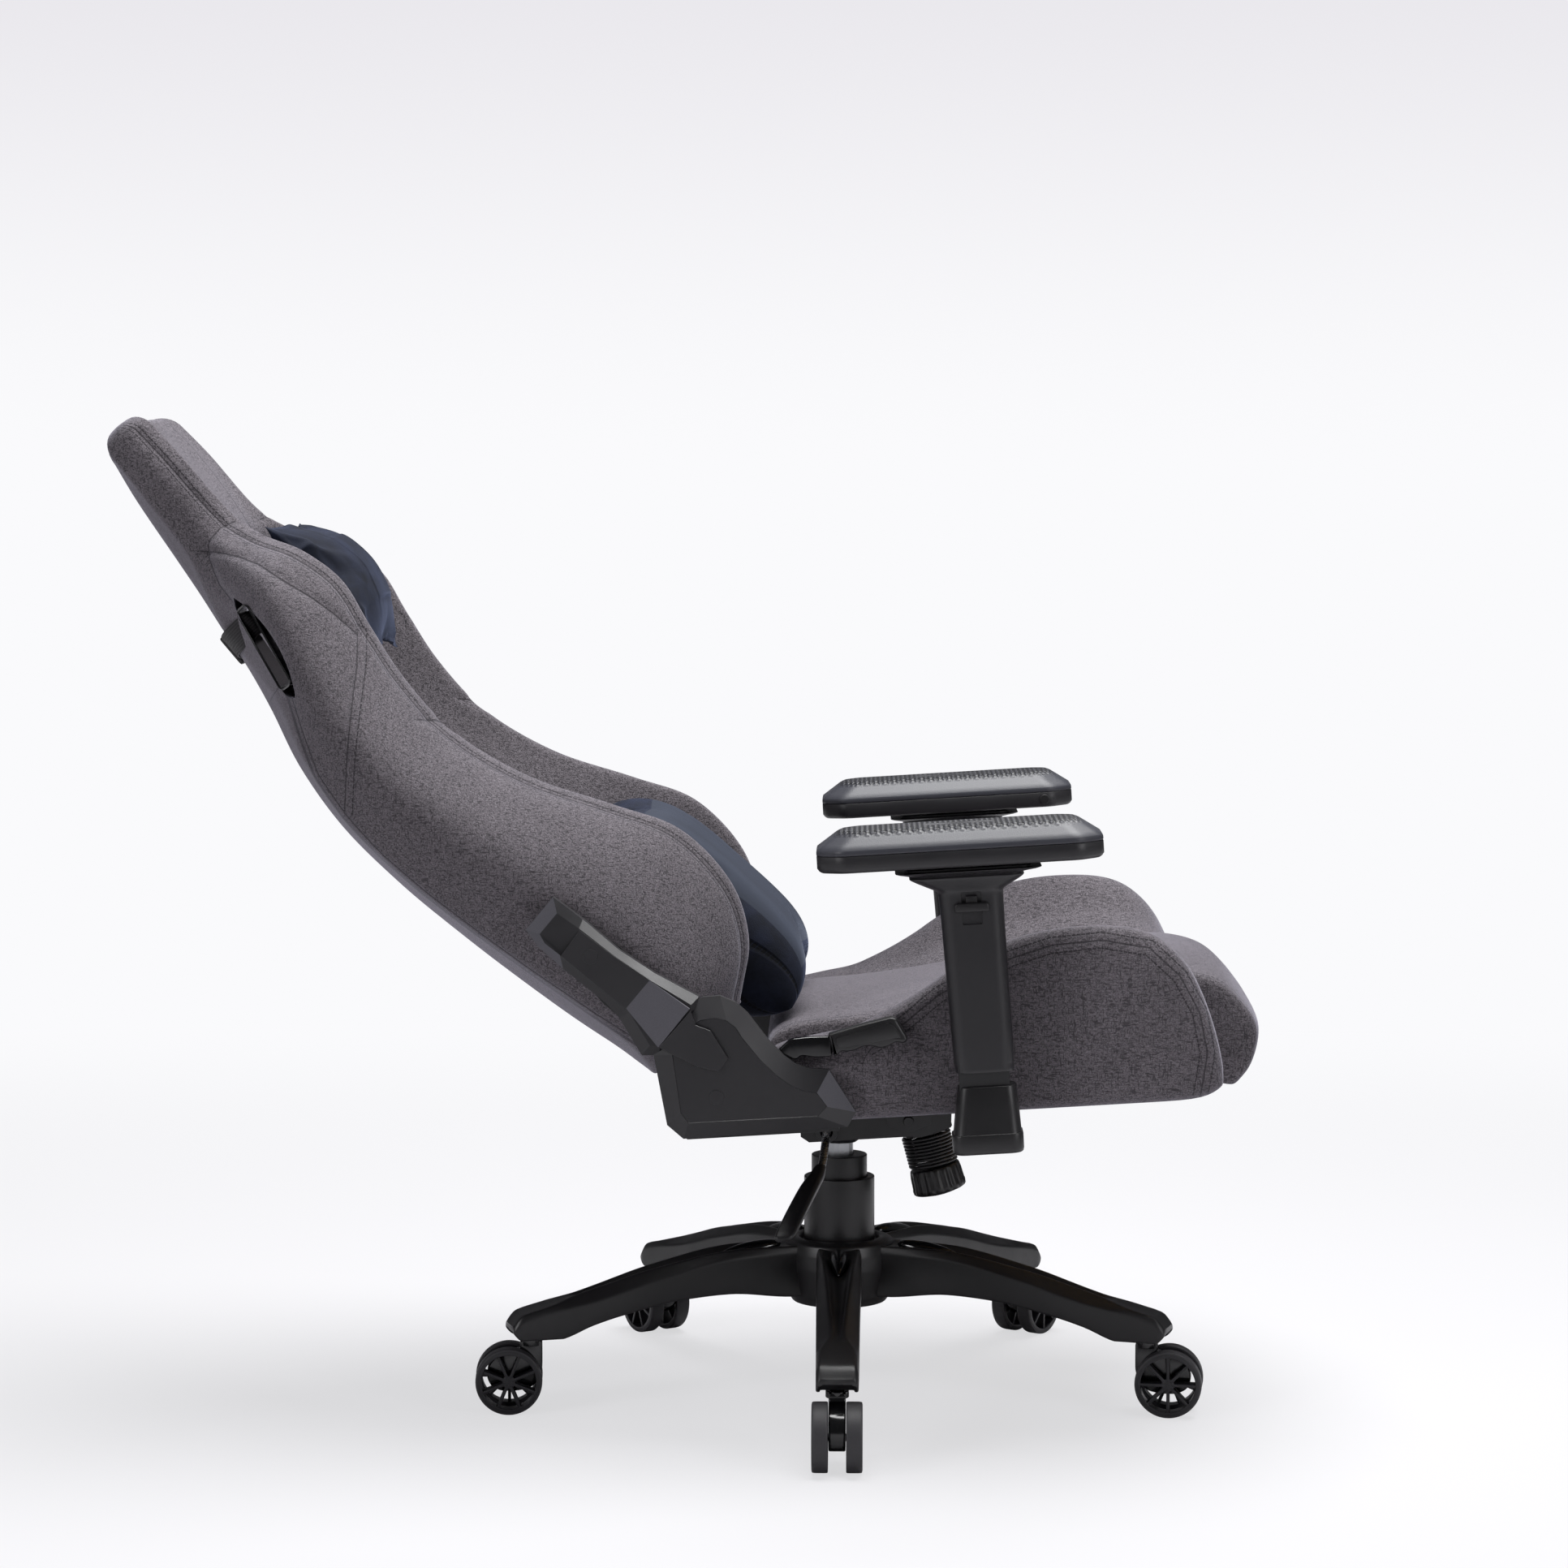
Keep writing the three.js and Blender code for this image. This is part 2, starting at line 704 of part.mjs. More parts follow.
// closed side outline: the given top line from rear to front, then back along a flat bottom
function cushionOutline(top, bottomHeight, rear, front, count) {
  const line = smooth(top, count);
  return [...line, [front, bottomHeight], [(front + rear) / 2, bottomHeight], [rear, bottomHeight]];
}

function stack(outlines) {
  return outlines.map(([x, outline]) => outline.map(([s, h]) => [x, -s, h]));
}

// moves an outline in towards its own middle by about the given distance
function drawnIn(outline, distance) {
  const s = outline.map((p) => p[0]);
  const h = outline.map((p) => p[1]);
  const middle = [(Math.min(...s) + Math.max(...s)) / 2, (Math.min(...h) + Math.max(...h)) / 2];
  const scaleS = 1 - (2 * distance) / (Math.max(...s) - Math.min(...s));
  const scaleH = 1 - (2 * distance) / (Math.max(...h) - Math.min(...h));
  return outline.map(([a, b]) => [
    middle[0] + (a - middle[0]) * scaleS,
    middle[1] + (b - middle[1]) * scaleH,
  ]);
}

const cushionBottom = seatBottom + boardThickness + 2 * gap;

// top line of the middle cushion; sink lowers it towards the seams
function cushionTop(sink, tuck) {
  return [
    [-66, 78],
    [-60, 126 - sink],
    [-19, 156 - sink],
    [64, 164 - sink],
    [172, 170 - sink],
    [270, 182 - sink],
    [348, 190 - sink],
    [388 - tuck, 163 - sink * 0.5],
    [415 - tuck, 112],
    [402 - tuck, 66],
    [380 - tuck, 46],
  ];
}

function seatCushion() {
  const stations = [
    [cushionHalfWidth - gap / 2, 15, 10, 4],
    [cushionHalfWidth - 6, 9, 6, 1],
    [132, 5, 3, 0],
    [70, 1.5, 1, 0],
    [0, 0, 0, 0],
  ];
  const outlines = stations.map(([x, sink, tuck, shrink]) => {
    const outline = cushionOutline(cushionTop(sink, tuck), cushionBottom, -60, 340, 20);
    return [x, shrink > 0 ? outline.map(([s, h]) => [s * (1 - shrink / 400), h]) : outline];
  });
  const mirrored = outlines.slice(0, -1).map(([x, outline]) => [-x, outline]).reverse();
  return loft(stack([...outlines, ...mirrored]));
}

// the bolster's top line where its height over the cushion's edge is raised by the given share
function bolsterTop(rise, tuck) {
  const crest = [
    [-70, 78, 78],
    [-57, 112, 110],
    [-18, 119, 118],
    [29, 138, 128],
    [101, 180, 138],
    [172, 211, 146],
    [235, 221, 156],
    [303, 213, 163],
    [338, 184, 150],
    [358, 140, 120],
    [370, 84, 82],
    [370, 60, 60],
  ];
  return crest.map(([s, high, low]) => [s - tuck * (s > 300 ? 1 : 0), low + (high - low) * rise]);
}

function seatBolster(side) {
  const stations = [
    [cushionHalfWidth + gap / 2, 0, 6, 6],
    [cushionHalfWidth + 7, 0.08, 0, 2],
    [200, 0.42, 0, 0],
    [221, 0.84, 0, 0],
    [crestStation, 1, 0, 0],
    [crestStation + 10, 0.96, 0, 4],
    [bolsterHalfWidth, 0.86, 2, 12],
  ];
  const outlines = stations.map(([x, rise, tuck, shrink]) => {
    const outline = cushionOutline(bolsterTop(rise, tuck), seatBottom, -58, 352, 22);
    return [side * x, shrink > 0 ? drawnIn(outline, shrink) : outline];
  });
  const geometry = loft(stack(outlines));
  const floor = box(800, 1200, 100, 0, 0, seatBottom - 50);
  return cut(geometry, floor);
}

function seatBoard() {
  const length = boardFront - boardRear;
  const outline = roundedRect(2 * boardHalfWidth, length, 40, 0, (boardFront + boardRear) / 2);
  const low = seatBottom + gap;
  return level(outline, low, low + boardThickness - gap);
}

// ---- recliner -----------------------------------------------------------------------------

function arcPoints([cx, cy], radius, from, to, count) {
  const points = [];
  for (let i = 0; i < count; i++) {
    const a = rad(from + ((to - from) * i) / (count - 1));
    points.push([cx + radius * Math.cos(a), cy + radius * Math.sin(a)]);
  }
  return points;
}

const lowerCoverOutline = [
  [-157, 60],
  [-140, 46],
  [11, 48],
  [20, 66],
  [-3, 98],
  [-20, 104],
  [-44, 115],
  ...arcPoints(humpCentre, humpRadius, 20, 100, 7),
  [-150, 164],
  [-165, 126],
];

function screwCap([s, h], radius, face, side) {
  return rod(radius, side * (face - 3), side * (face + 0.9), 18).translate(0, -s, h);
}

function lowerCover(side) {
  const body = slab(lowerCoverOutline, coverInner, coverFace, side, coverBevel, coverBevel - 2);
  return join(body, screwCap([-109, 84], 8.8, coverFace, side));
}

// steel plate from the seat's underside out and up to the recline axis
function reclinerPlate(side) {
  const inner = bracketInner + bracketPlate + leverPlate + 3 * gap;
  const outer = inner + fixedPlate;
  const top = seatBottom - gap;
  const wall = slab([
    [-140, top - plateThickness],
    [4, top - plateThickness],
    [4, 62],
    [-50, 98],
    ...arcPoints(pivot, 34, 0, 170, 7),
  ], inner, outer, side);
  const flange = slab([[-52, top - plateThickness], [4, top - plateThickness], [4, top], [-52, top]], 104, inner + 1, side);
  const pinHole = rod(shaftRadius + runningGap, side * 200, side * 300).translate(0, -pivot[0], pivot[1]);
  const leverHole = rod(4 + runningGap, side * 200, side * 300).translate(0, -leverPin[0], leverPin[1]);
  return cut(join(wall, flange), pinHole, leverHole);
}

// both upper recliner arms on their cross shaft; drawn in the back's frame
function backBracket() {
  const arm = [
    [-34, 12],
    ...arcPoints([0, 0], 24, 190, 350, 6),
    [14, 30],
    [4, 96],
    [-16, 186],
    [-50, 182],
    [-48, 90],
  ];
  const parts = [-1, 1].map((side) => slab(arm, bracketInner, bracketInner + bracketPlate, side));
  const shaftEnd = bracketInner + bracketPlate + leverPlate + fixedPlate + 3 * gap;
  parts.push(rod(shaftRadius, -shaftEnd, shaftEnd, 16));
  return join(...parts);
}

function upperCover(side) {
  const outline = [
    [-20, 200],
    [-61, 192],
    [-60, 134],
    [-44, 69],
    [-50, 30],
    [-36, 20],
    [20, 39],
    [8, 85],
    [-2, 124],
  ];
  const tongue = [[-1, 40], [7, 1], [4, -22], [-12, -27], [-27, -2], [-33, 24]];
  const cutLine = 62; // below this the cover only laps over the lower one
  const inner = bracketInner + bracketPlate + gap;
  const skin = coverFace + runningGap + 0.6;
  const skinFace = skin + tongueThickness;
  const clip = (geometry, low, high) => common(
    geometry,
    box(1000, 400, high - low, 0, 0, (low + high) / 2),
  );
  const arm = clip(slab(outline, inner, upperCoverFace, side, upperCoverBevel), 74, 260);
  const end = clip(slab(outline, inner, skinFace, side, upperCoverBevel), cutLine, 76);
  const lap = clip(slab(outline, skin, skinFace, side, 3), 0, cutLine + 2);
  const tip = slab(tongue, skin, skinFace - 1, side, 1.5);
  const cap = screwCap([-33, 149], 8.8, upperCoverFace, side);
  let body = join(arm, end, lap, tip, cap);
  // the far end and the step between the two levels are slanted faces
  const endCut = box(60, 200, 90, 0, 0, 0).rotateY(side * rad(-16));
  endCut.translate(side * (upperCoverFace + 24), 20, 212);
  body = cut(body, endCut);
  const wedge = slantedStep(side, skinFace);
  return join(body, wedge);
}

// wedge that leads from the arm's face out to the lapping end
function slantedStep(side, skinFace) {
  const half = 20;
  const low = 60;
  const high = 96;
  const profile = [[upperCoverFace - 4, low], [skinFace, low], [skinFace, 66], [upperCoverFace - 1, high]];
  const shape = new THREE.ExtrudeGeometry(shapeOf(profile), { depth: 2 * half, bevelEnabled: false });
  const basis = new THREE.Matrix4().makeBasis(
    new THREE.Vector3(side, 0, 0),
    new THREE.Vector3(0, 0, 1),
    new THREE.Vector3(0, -side, 0),
  );
  shape.applyMatrix4(basis);
  return outwardOf(shape).translate(0, side * half + 19, 0);
}

// pull handle with a waved grip, on the sitter's right only
function reclineHandle() {
  const waves = [];
  for (let i = 0; i <= 12; i++) {
    const t = i / 12;
    const wave = 1.8 * Math.cos(t * 8 * Math.PI);
    waves.push([70 - 60 * t, 127 - 11 * t - wave]);
  }
  const grip = [[2, 137], [60, 148], [72, 131], ...waves];
  const gripBody = slab(grip, 257, 276, -1, 3);
  const neck = slab([[-30, 106], [-14, 112], [6, 118], [8, 135], [-10, 134], [-40, 122]], 259.8, coverInner - gap, -1);
  const inner = bracketInner + bracketPlate + gap;
  const plate = slab([
    [leverPin[0] - 12, leverPin[1] - 10],
    [leverPin[0] + 14, leverPin[1] - 12],
    [-22, 106],
    [-22, 120],
    [leverPin[0] + 4, leverPin[1] + 13],
    [leverPin[0] - 12, leverPin[1] + 8],
  ], inner, inner + leverPlate, -1);
  const pin = rod(4, -inner - leverPlate - fixedPlate - gap, -inner, 12);
  return join(gripBody, neck, plate, pin.translate(0, -leverPin[0], leverPin[1]));
}

// ---- back ---------------------------------------------------------------------------------

// rows of [height, half width, rear, corner x, corner, side, crest x, crest, valley x, valley, front]
// heights run up the back; the other depths are measured forward of the back's own axis
const backRows = [
  [-2, 228, -80, 176, -66, -20, 176, 26, 120, 22, 20],
  [14, 240, -85, 196, -62, -14, 178, 46, 124, 22, 14],
  [40, 248, -93, 212, -60, -6, 178, 82, 126, 20, 8],
  [90, 252, -109, 222, -69, 0, 177, 110, 128, 16, 2],
  [165, 252, -129, 226, -88, -14, 174, 103, 128, 4, -12],
  [225, 250, -141, 227, -104, -30, 171, 69, 126, -14, -28],
  [300, 246, -154, 225, -120, -54, 167, 24, 122, -42, -55],
  [380, 241, -161, 218, -129, -72, 164, -3, 118, -72, -82],
  [450, 232, -156, 202, -124, -74, 162, -12, 112, -92, -100],
  [510, 221, -143, 170, -112, -68, 161, -3, 106, -100, -110],
  [560, 206, -135, 118, -116, -58, 160, 8, 100, -98, -110],
  [605, 180, -130, 106, -114, -54, 146, -3, 92, -84, -100],
  [645, 142, -126, 104, -104, -62, 116, -30, 78, -64, -76],
  [684, 110, -123, 99, -95, -68, 93, -40, 60, -50, -56],
  [760, 104, -114, 95, -93, -68, 91, -39, 56, -44, -49],
  [806, 94, -104, 86, -94, -68, 83, -42, 50, -46, -49],
];

function backRing(height) {
  const value = (column) => blend(backRows.map((row) => [row[0], row[column]]), height);
  const [half, rear, cornerX, corner, side, crestX, crest, valleyX, valley, front] = [
    1, 2, 3, 4, 5, 6, 7, 8, 9, 10,
  ].map(value);
  const lower = smooth([[0, rear], [cornerX * 0.55, rear * 0.8 + corner * 0.2], [cornerX, corner]], 5);
  const flank = smooth([[cornerX, corner], [half, side], [(half + crestX) / 2, (side + 2 * crest) / 3], [crestX, crest]], 7);
  const inside = smooth([[crestX, crest], [(crestX + valleyX) / 2, (crest + valley) / 2 - 2], [valleyX, valley]], 5);
  const middle = smooth([[valleyX, valley], [valleyX * 0.6, front + (valley - front) * 0.3], [0, front]], 5);
  const points = [...lower, ...flank.slice(1), ...inside.slice(1), ...middle.slice(1)];
  const mirrored = points.slice(1, -1).map(([x, p]) => [-x, p]).reverse();
  return [...points, ...mirrored].map(([x, p]) => [x, -p, height]);
}

// pulls a ring in towards its middle, for the rounded ends of the back
function closedIn(ringPoints, share, rise) {
  const depths = ringPoints.map((p) => p[1]);
  const middle = (Math.min(...depths) + Math.max(...depths)) / 2;
  return ringPoints.map(([x, y, z]) => [x * share, middle + (y - middle) * share, z + rise]);
}

function wholeBack() {
  const stations = [];
  for (let height = 16; height < 790; height += 52) stations.push(height);
  const rings = stations.map(backRing);
  const rows = [closedIn(rings[0], 0.92, -11), ...rings];
  const last = backRing(806);
  rows.push(last, closedIn(last, 0.9, 9), closedIn(last, 0.72, 14));
  return loft(rows);
}

function slotPrism(width, length, from, to, side) {
  const outline = roundedRect(width, length, width / 2 - 0.2, 0, 0, 3);
  const lean = rad(-slotLean);
  const placed = outline.map(([a, b]) => [
    slotCentre[0] + a * Math.cos(lean) - b * Math.sin(lean),
    slotCentre[1] + a * Math.sin(lean) + b * Math.cos(lean),
  ]);
  return slab(placed, from, to, side);
}

function backPieces() {
  const slots = [-1, 1].map((side) => slotPrism(slotWidth, slotLength, 60, 240, side));
  const tall = backRows.at(-1)[0];
  const wide = 2 * bolsterHalfWidth;
  const shaft = rod(shaftRadius + 1, -wide, wide);
  const whole = cut(wholeBack(), ...slots, shaft);
  const middleBox = box(2 * centreHalfWidth - gap, wide, 2 * tall, 0, 0, tall / 2);
  const wingBox = (side) => box(wide, wide, 2 * tall, side * (centreHalfWidth + (gap + wide) / 2), 0, tall / 2);
  return [
    piece('back_cushion', common(whole, middleBox), greyFabric),
    piece('back_wing_right', common(whole, wingBox(-1)), greyFabric),
    piece('back_wing_left', common(whole, wingBox(1)), greyFabric),
  ];
}

// glossy liner of a strap slot
function slotTrim(side) {
  const outer = slotPrism(slotWidth - 2 * gap, slotLength - 2 * gap, 70, 230, side);
  const width = slotWidth - 2 * gap - 2 * trimWall;
  const inner = slotPrism(width, slotLength - 2 * gap - 2 * trimWall, 60, 240, side);
  const rim = wholeBack().translate(0, trimWall, 0);
  return common(cut(outer, inner), rim);
}

// elastic band from the pillow, out through both slots and round the back of the neck
function neckStrap() {
  const rear = blend(backRows.map((row) => [row[0], row[2]]), strapHeight) - strapThickness / 2;
  const flank = blend(backRows.map((row) => [row[0], row[4]]), strapHeight) - strapThickness / 2;
  const passage = slotCentre[0] + (strapHeight - slotCentre[1]) * Math.sin(rad(slotLean));
  const half = [
    [0, rear - 2.1],
    [56, rear + 0.6],
    [98.5, flank - 10.8],
    [124.5, flank - 1.6],
    [142, passage - 14.8],
    [147, passage - 8.8],
    [141, passage - 2.8],
    [120, passage - 1.3],
    [104, passage - 1.3],
    [93, passage + 1.2],
    [85, passage + 9.2],
    [83, passage + 40.4],
  ];
  const centre = [...half.slice(1).map(([x, p]) => [-x, p]).reverse(), ...half];
  const curve = smooth(centre, 31);
  const outer = [];
  const inner = [];
  curve.forEach(([x, p], i) => {
    const [ax, ap] = curve[Math.max(i - 1, 0)];
    const [bx, bp] = curve[Math.min(i + 1, curve.length - 1)];
    const length = Math.hypot(bx - ax, bp - ap);
    const [nx, np] = [(bp - ap) / length, -(bx - ax) / length];
    const t = strapThickness / 2;
    outer.push([x + nx * t, p + np * t]);
    inner.push([x - nx * t, p - np * t]);
  });
  const band = level([...outer, ...inner.reverse()], strapHeight - strapWidth / 2, strapHeight + strapWidth / 2);
  const buckle = box(44, 5, strapWidth + 8, 0, 5.5 - rear, strapHeight);
  return join(band, buckle);
}

// closed pillow: a front and a back sheet that share their edge, with pointed corners
function pillow({ width, height, depth, centre, lean, bow, corner }) {
  const nu = 12;
  const nv = 9;
  const rows = [];
  const positions = [];
  const index = [];
  const sheet = (sign) => {
    const grid = [];
    for (let j = 0; j <= nv; j++) {
      const row = [];
      for (let i = 0; i <= nu; i++) {
        const u = -Math.cos((Math.PI * i) / nu);
        const v = -Math.cos((Math.PI * j) / nv);
        const edge = i === 0 || j === 0 || i === nu || j === nv;
        if (edge && sign < 0) {
          row.push(rows[j][i]);
          continue;
        }
        const pull = 1 - corner * (1 - Math.abs(u * v));
        const x = u * (width / 2) * (Math.abs(u) > 0.5 ? THREE.MathUtils.lerp(1, pull, Math.abs(u)) : 1);
        const z = v * (height / 2) * (Math.abs(v) > 0.5 ? THREE.MathUtils.lerp(1, pull, Math.abs(v)) : 1);
        const full = Math.sqrt(Math.max(0, (1 - u ** 4) * (1 - v ** 4)));
        const p = sign * (depth / 2) * full + bow * (1 - u * u) + lean * v;
        row.push(positions.length / 3);
        positions.push(x, -(centre[0] + p), centre[1] + z);
      }
      grid.push(row);
      if (sign > 0) rows.push(row);
    }
    for (let j = 0; j < nv; j++) {
      for (let i = 0; i < nu; i++) {
        const [a, b, c, d] = [grid[j][i], grid[j][i + 1], grid[j + 1][i + 1], grid[j + 1][i]];
        if (sign > 0) index.push(a, b, c, a, c, d);
        else index.push(a, c, b, a, d, c);
      }
    }
  };
  sheet(1);
  sheet(-1);
  const geometry = new THREE.BufferGeometry();
  geometry.setAttribute('position', new THREE.Float32BufferAttribute(positions, 3));
  geometry.setIndex(index);
  return outward(geometry);
}

const neckPillowSize = { width: 235, height: 158, depth: 70, centre: [-25.2, 568], lean: 2, bow: 6, corner: 0.1 };
const lumbarPillowSize = { width: 276, height: 246, depth: 108, centre: [59.5, 92], lean: -12, bow: -1, corner: 0.06 };

// ---- armrests -----------------------------------------------------------------------------

function armPost(side) {
  const top = seatBottom - gap;
  const reach = armSpan + postDepth / 2 - armBarInner;
  const middle = armBarInner + reach / 2;
  const bar = box(reach, postWidth, armBarThickness, side * middle, -armStation, top - armBarThickness / 2);
  const low = top - armBarThickness;
  const high = sleeveTop - 30;
  const upright = box(postDepth, postWidth, high - low, side * armSpan, -armStation, (low + high) / 2);
  return join(bar, upright);
}

// stack of rounded rectangles: rows of [height, width in x, length forward, centre forward]
function tower(rows, side, radius, steps = 2) {
  const rings = rows.map(([h, width, length, centre]) => (
    roundedRect(width, length, radius, 0, 0, steps).map(([x, s]) => [side * armSpan + x, -(centre + s), h])
  ));
  return loft(rings);
}

function armBoot(side) {
  const sleeveX = postDepth + 2 * sleeveWall;
  const sleeveS = postWidth + 2 * sleeveWall;
  const body = tower([
    [bootBottom, sleeveX + 8, sleeveS + 8, armStation],
    [bootBottom + 4, sleeveX + 2 * bootFlare, sleeveS + 2 * bootFlare, armStation],
    [40, sleeveX + 2 * bootFlare, sleeveS + 2 * bootFlare, armStation],
    [40.8, sleeveX + 2 * bootFlare - 1.6, sleeveS + 2 * bootFlare - 1.6, armStation],
    [64, sleeveX + bootFlare * 0.7, sleeveS + bootFlare * 0.7, armStation],
    [bootTop, sleeveX - 1, sleeveS - 1, armStation],
  ], side, 11);
  const low = seatBottom - gap - armBarThickness - gap;
  const well = box(postDepth + 2 * gap, postWidth + 2 * gap, 100, side * armSpan, -armStation, low + 50);
  const slotX = side * (armSpan - 40);
  const tall = armBarThickness + 2 * gap + 3;
  const entry = box(80, postWidth + 2 * gap, tall, slotX, -armStation, low + tall / 2);
  return cut(body, well, entry);
}

const triggerOutline = [
  [-8, 262 - 2],
  [8, 262 - 2],
  [8, 254],
  [16, 252],
  [16, 244],
  [8, 240],
  [8, 234],
  [-8, 234],
  [-8, 240],
  [-16, 244],
  [-16, 252],
  [-8, 254],
];

function armSleeve(side) {
  const width = postDepth + 2 * sleeveWall;
  const length = postWidth + 2 * sleeveWall;
  const body = tower([
    [sleeveBottom, width, length, armStation],
    [sleeveTop - 8, width, length, armStation],
    [sleeveTop + 2, width + 10, length + 12, armStation - 1],
    [sleeveTop + 14, width + 28, length + 62, armStation - 2],
    [neckTop - 2, 74, 138, armStation - 3],
    [neckTop, 72, 136, armStation - 3],
  ], side, 9);
  const bore = box(
    postDepth + 2 * runningGap,
    postWidth + 2 * runningGap,
    sleeveTop - 14 - sleeveBottom + 20,
    side * armSpan,
    -armStation,
    (sleeveBottom - 20 + sleeveTop - 14) / 2,
  );
  const face = armSpan + width / 2;
  const pocket = slab(
    [[-17, 231], [17, 231], [17, 262], [-17, 262]].map(([s, h]) => [s + armStation, h]),
    face - 2.4,
    face + 10,
    side,
  );
  return cut(body, bore, pocket);
}

function heightTrigger(side) {
  const face = armSpan + postDepth / 2 + sleeveWall;
  const outline = triggerOutline.map(([s, h]) => [s + armStation, h - 2]);
  return slab(outline, face - 2.4 + gap, face + 2.2, side, 1);
}

function padOutline(width, length, chamfer) {
  const [w, l, c] = [width / 2, length / 2, chamfer];
  return [[w, -l + c], [w, l - c], [w - c * 0.8, l], [-w + c * 0.8, l], [-w, l - c], [-w, -l + c], [-w + c * 0.8, -l], [w - c * 0.8, -l]];
}

function padRings(rows, side) {
  return rows.map(([h, width, length, chamfer]) => (
    padOutline(width, length, chamfer).map(([x, s]) => [side * armSpan + x, -(padForward + s), h])
  ));
}

const padButtonStation = padForward + padLength / 2 - 30;
const padButtonHeight = (padBottom + padSeam) / 2 + 0.5;

function padBase(side) {
  const body = loft(padRings([
    [padBottom, padWidth - 6, padLength - 8, 20],
    [padBottom + 3, padWidth, padLength, 22],
    [padSeam - gap, padWidth, padLength, 22],
  ], side));
  const face = armSpan - padWidth / 2;
  const pocket = rod(5.4, side * (face - 5), side * (face + 9), 14);
  return cut(body, pocket.translate(0, -padButtonStation, padButtonHeight));
}

function padTopCap(side) {
  return loft(padRings([
    [padSeam, padWidth, padLength, 22],
    [padSeam + 4, padWidth, padLength, 22],
    [padTop - 1, padWidth - 30, padLength - 42, 16],
    [padTop, padWidth - 36, padLength - 48, 16],
  ], side));
}

function padButton(side) {
  const face = armSpan - padWidth / 2;
  return rod(5, side * (face - 2.5), side * (face + 5), 14).translate(0, -padButtonStation, padButtonHeight);
}

function padPlateLow(side) {
  const outline = roundedRect(62, 116, 10, side * armSpan, armStation - 3);
  return level(outline, neckTop + gap, neckTop + gap + padPlate);
}

function padPlateHigh(side) {
  const disc = arcPoints([side * armSpan, armStation - 3], 30, 0, 345, 24);
  const low = neckTop + padPlate + 2 * gap;
  return level(disc, low, low + padPlate);
}

function armrest(word, side) {
  const column = [side * armSpan, armStation, sleeveBottom];
  const head = [side * armSpan, armStation - 3, neckTop];
  const along = moving(
    `pad_along_${word}`,
    head,
    piece(`pad_base_${word}`, padBase(side), matteNylon),
    piece(`pad_top_${word}`, padTopCap(side), padRubber),
    piece(`pad_button_${word}`, padButton(side), matteNylon),
  );
  const turn = moving(
    `pad_turn_${word}`,
    head,
    piece(`pad_turn_plate_${word}`, padPlateHigh(side), blackSteel),
    along,
  );
  const across = moving(
    `pad_across_${word}`,
    head,
    piece(`pad_cross_plate_${word}`, padPlateLow(side), blackSteel),
    turn,
  );
  const lift = moving(
    `arm_height_${word}`,
    column,
    piece(`arm_sleeve_${word}`, armSleeve(side), matteNylon),
    piece(`height_trigger_${word}`, heightTrigger(side), matteNylon),
    across,
  );
  const fixed = [
    piece(`arm_post_${word}`, armPost(side), blackSteel),
    piece(`arm_boot_${word}`, armBoot(side), matteNylon),
  ];
  return [...fixed, lift];
}

// ---- assembly -----------------------------------------------------------------------------

function piston() {
  const low = hubBottom + 30;
  return ring([
    [0.01, low],
    [pistonRadius, low],
    [pistonRadius, mechanismHeight],
    [pistonRadius - 0.2, mechanismHeight + 15],
    [0.01, mechanismHeight + 15],
  ], 16);
}

function everyCaster() {
  const casters = [];
  for (let i = 0; i < legCount; i++) {
    const angle = Math.PI + (2 * Math.PI * i) / legCount;
    casters.push(caster(i + 1, angle, casterHeadings[i]));
  }
  return casters;
}

function backGroup() {
  const back = new THREE.Group();
  back.name = 'recline';
  back.position.set(0, -pivot[0], pivot[1]);
  back.rotation.x = rad(-reclineAtRest);
  back.add(piece('back_bracket', backBracket(), blackSteel), ...backPieces());
  for (const [word, side] of sides) {
    back.add(piece(`upper_cover_${word}`, upperCover(side), matteCover));
    back.add(piece(`slot_trim_${word}`, slotTrim(side), glossPlastic));
  }
  back.add(piece('neck_strap', neckStrap(), webbing));
  back.add(piece('neck_pillow', pillow(neckPillowSize), navyVelour));
  back.add(piece('lumbar_pillow', pillow(lumbarPillowSize), slateCloth));
  return back;
}

const sides = [['right', -1], ['left', 1]];

function seatGroup() {
  const parts = [
    piece('seat_plate', seatPlate(), blackSteel),
    piece('seat_board', seatBoard(), plywood),
    piece('seat_cushion', seatCushion(), greyFabric),
  ];
  for (const [word, side] of sides) {
    parts.push(piece(`seat_bolster_${word}`, seatBolster(side), greyFabric));
    parts.push(piece(`recliner_plate_${word}`, reclinerPlate(side), blackSteel));
    parts.push(piece(`lower_cover_${word}`, lowerCover(side), matteCover));
    parts.push(...armrest(word, side));
  }
  const handle = piece('recline_handle', reclineHandle(), matteCover);
  parts.push(moving('handle_pull', [-bracketInner, ...leverPin], handle));
  return moving('seat_tilt', [0, ...tiltAxle], ...parts, backGroup());
}

const mechanism = new THREE.Group();
mechanism.name = 'mechanism';
mechanism.position.set(0, 0, mechanismHeight);
mechanism.rotation.x = rad(-seatPitch);
mechanism.add(
  piece('tilt_housing', tiltHousing(), blackSteel),
  piece('tension_spring', tensionSpring(), blackSteel),
  piece('tension_knob', tensionKnob(), matteNylon),
  piece('lever_block', leverBlock(), matteNylon),
  moving(
    'lever_lift',
    [leverPath[0][0], leverPath[0][1], leverPath[0][2]],
    piece('lift_lever', leverRod(leverThickness), blackSteel),
    piece('lever_grip', leverGrip(), matteNylon),
  ),
  seatGroup(),
);

const chair = new THREE.Group();
chair.add(
  piece('star_base', starBase(), matteNylon),
  ...gasLift(),
  ...everyCaster(),
  piece('gas_piston', piston(), brightSteel),
  mechanism,
);

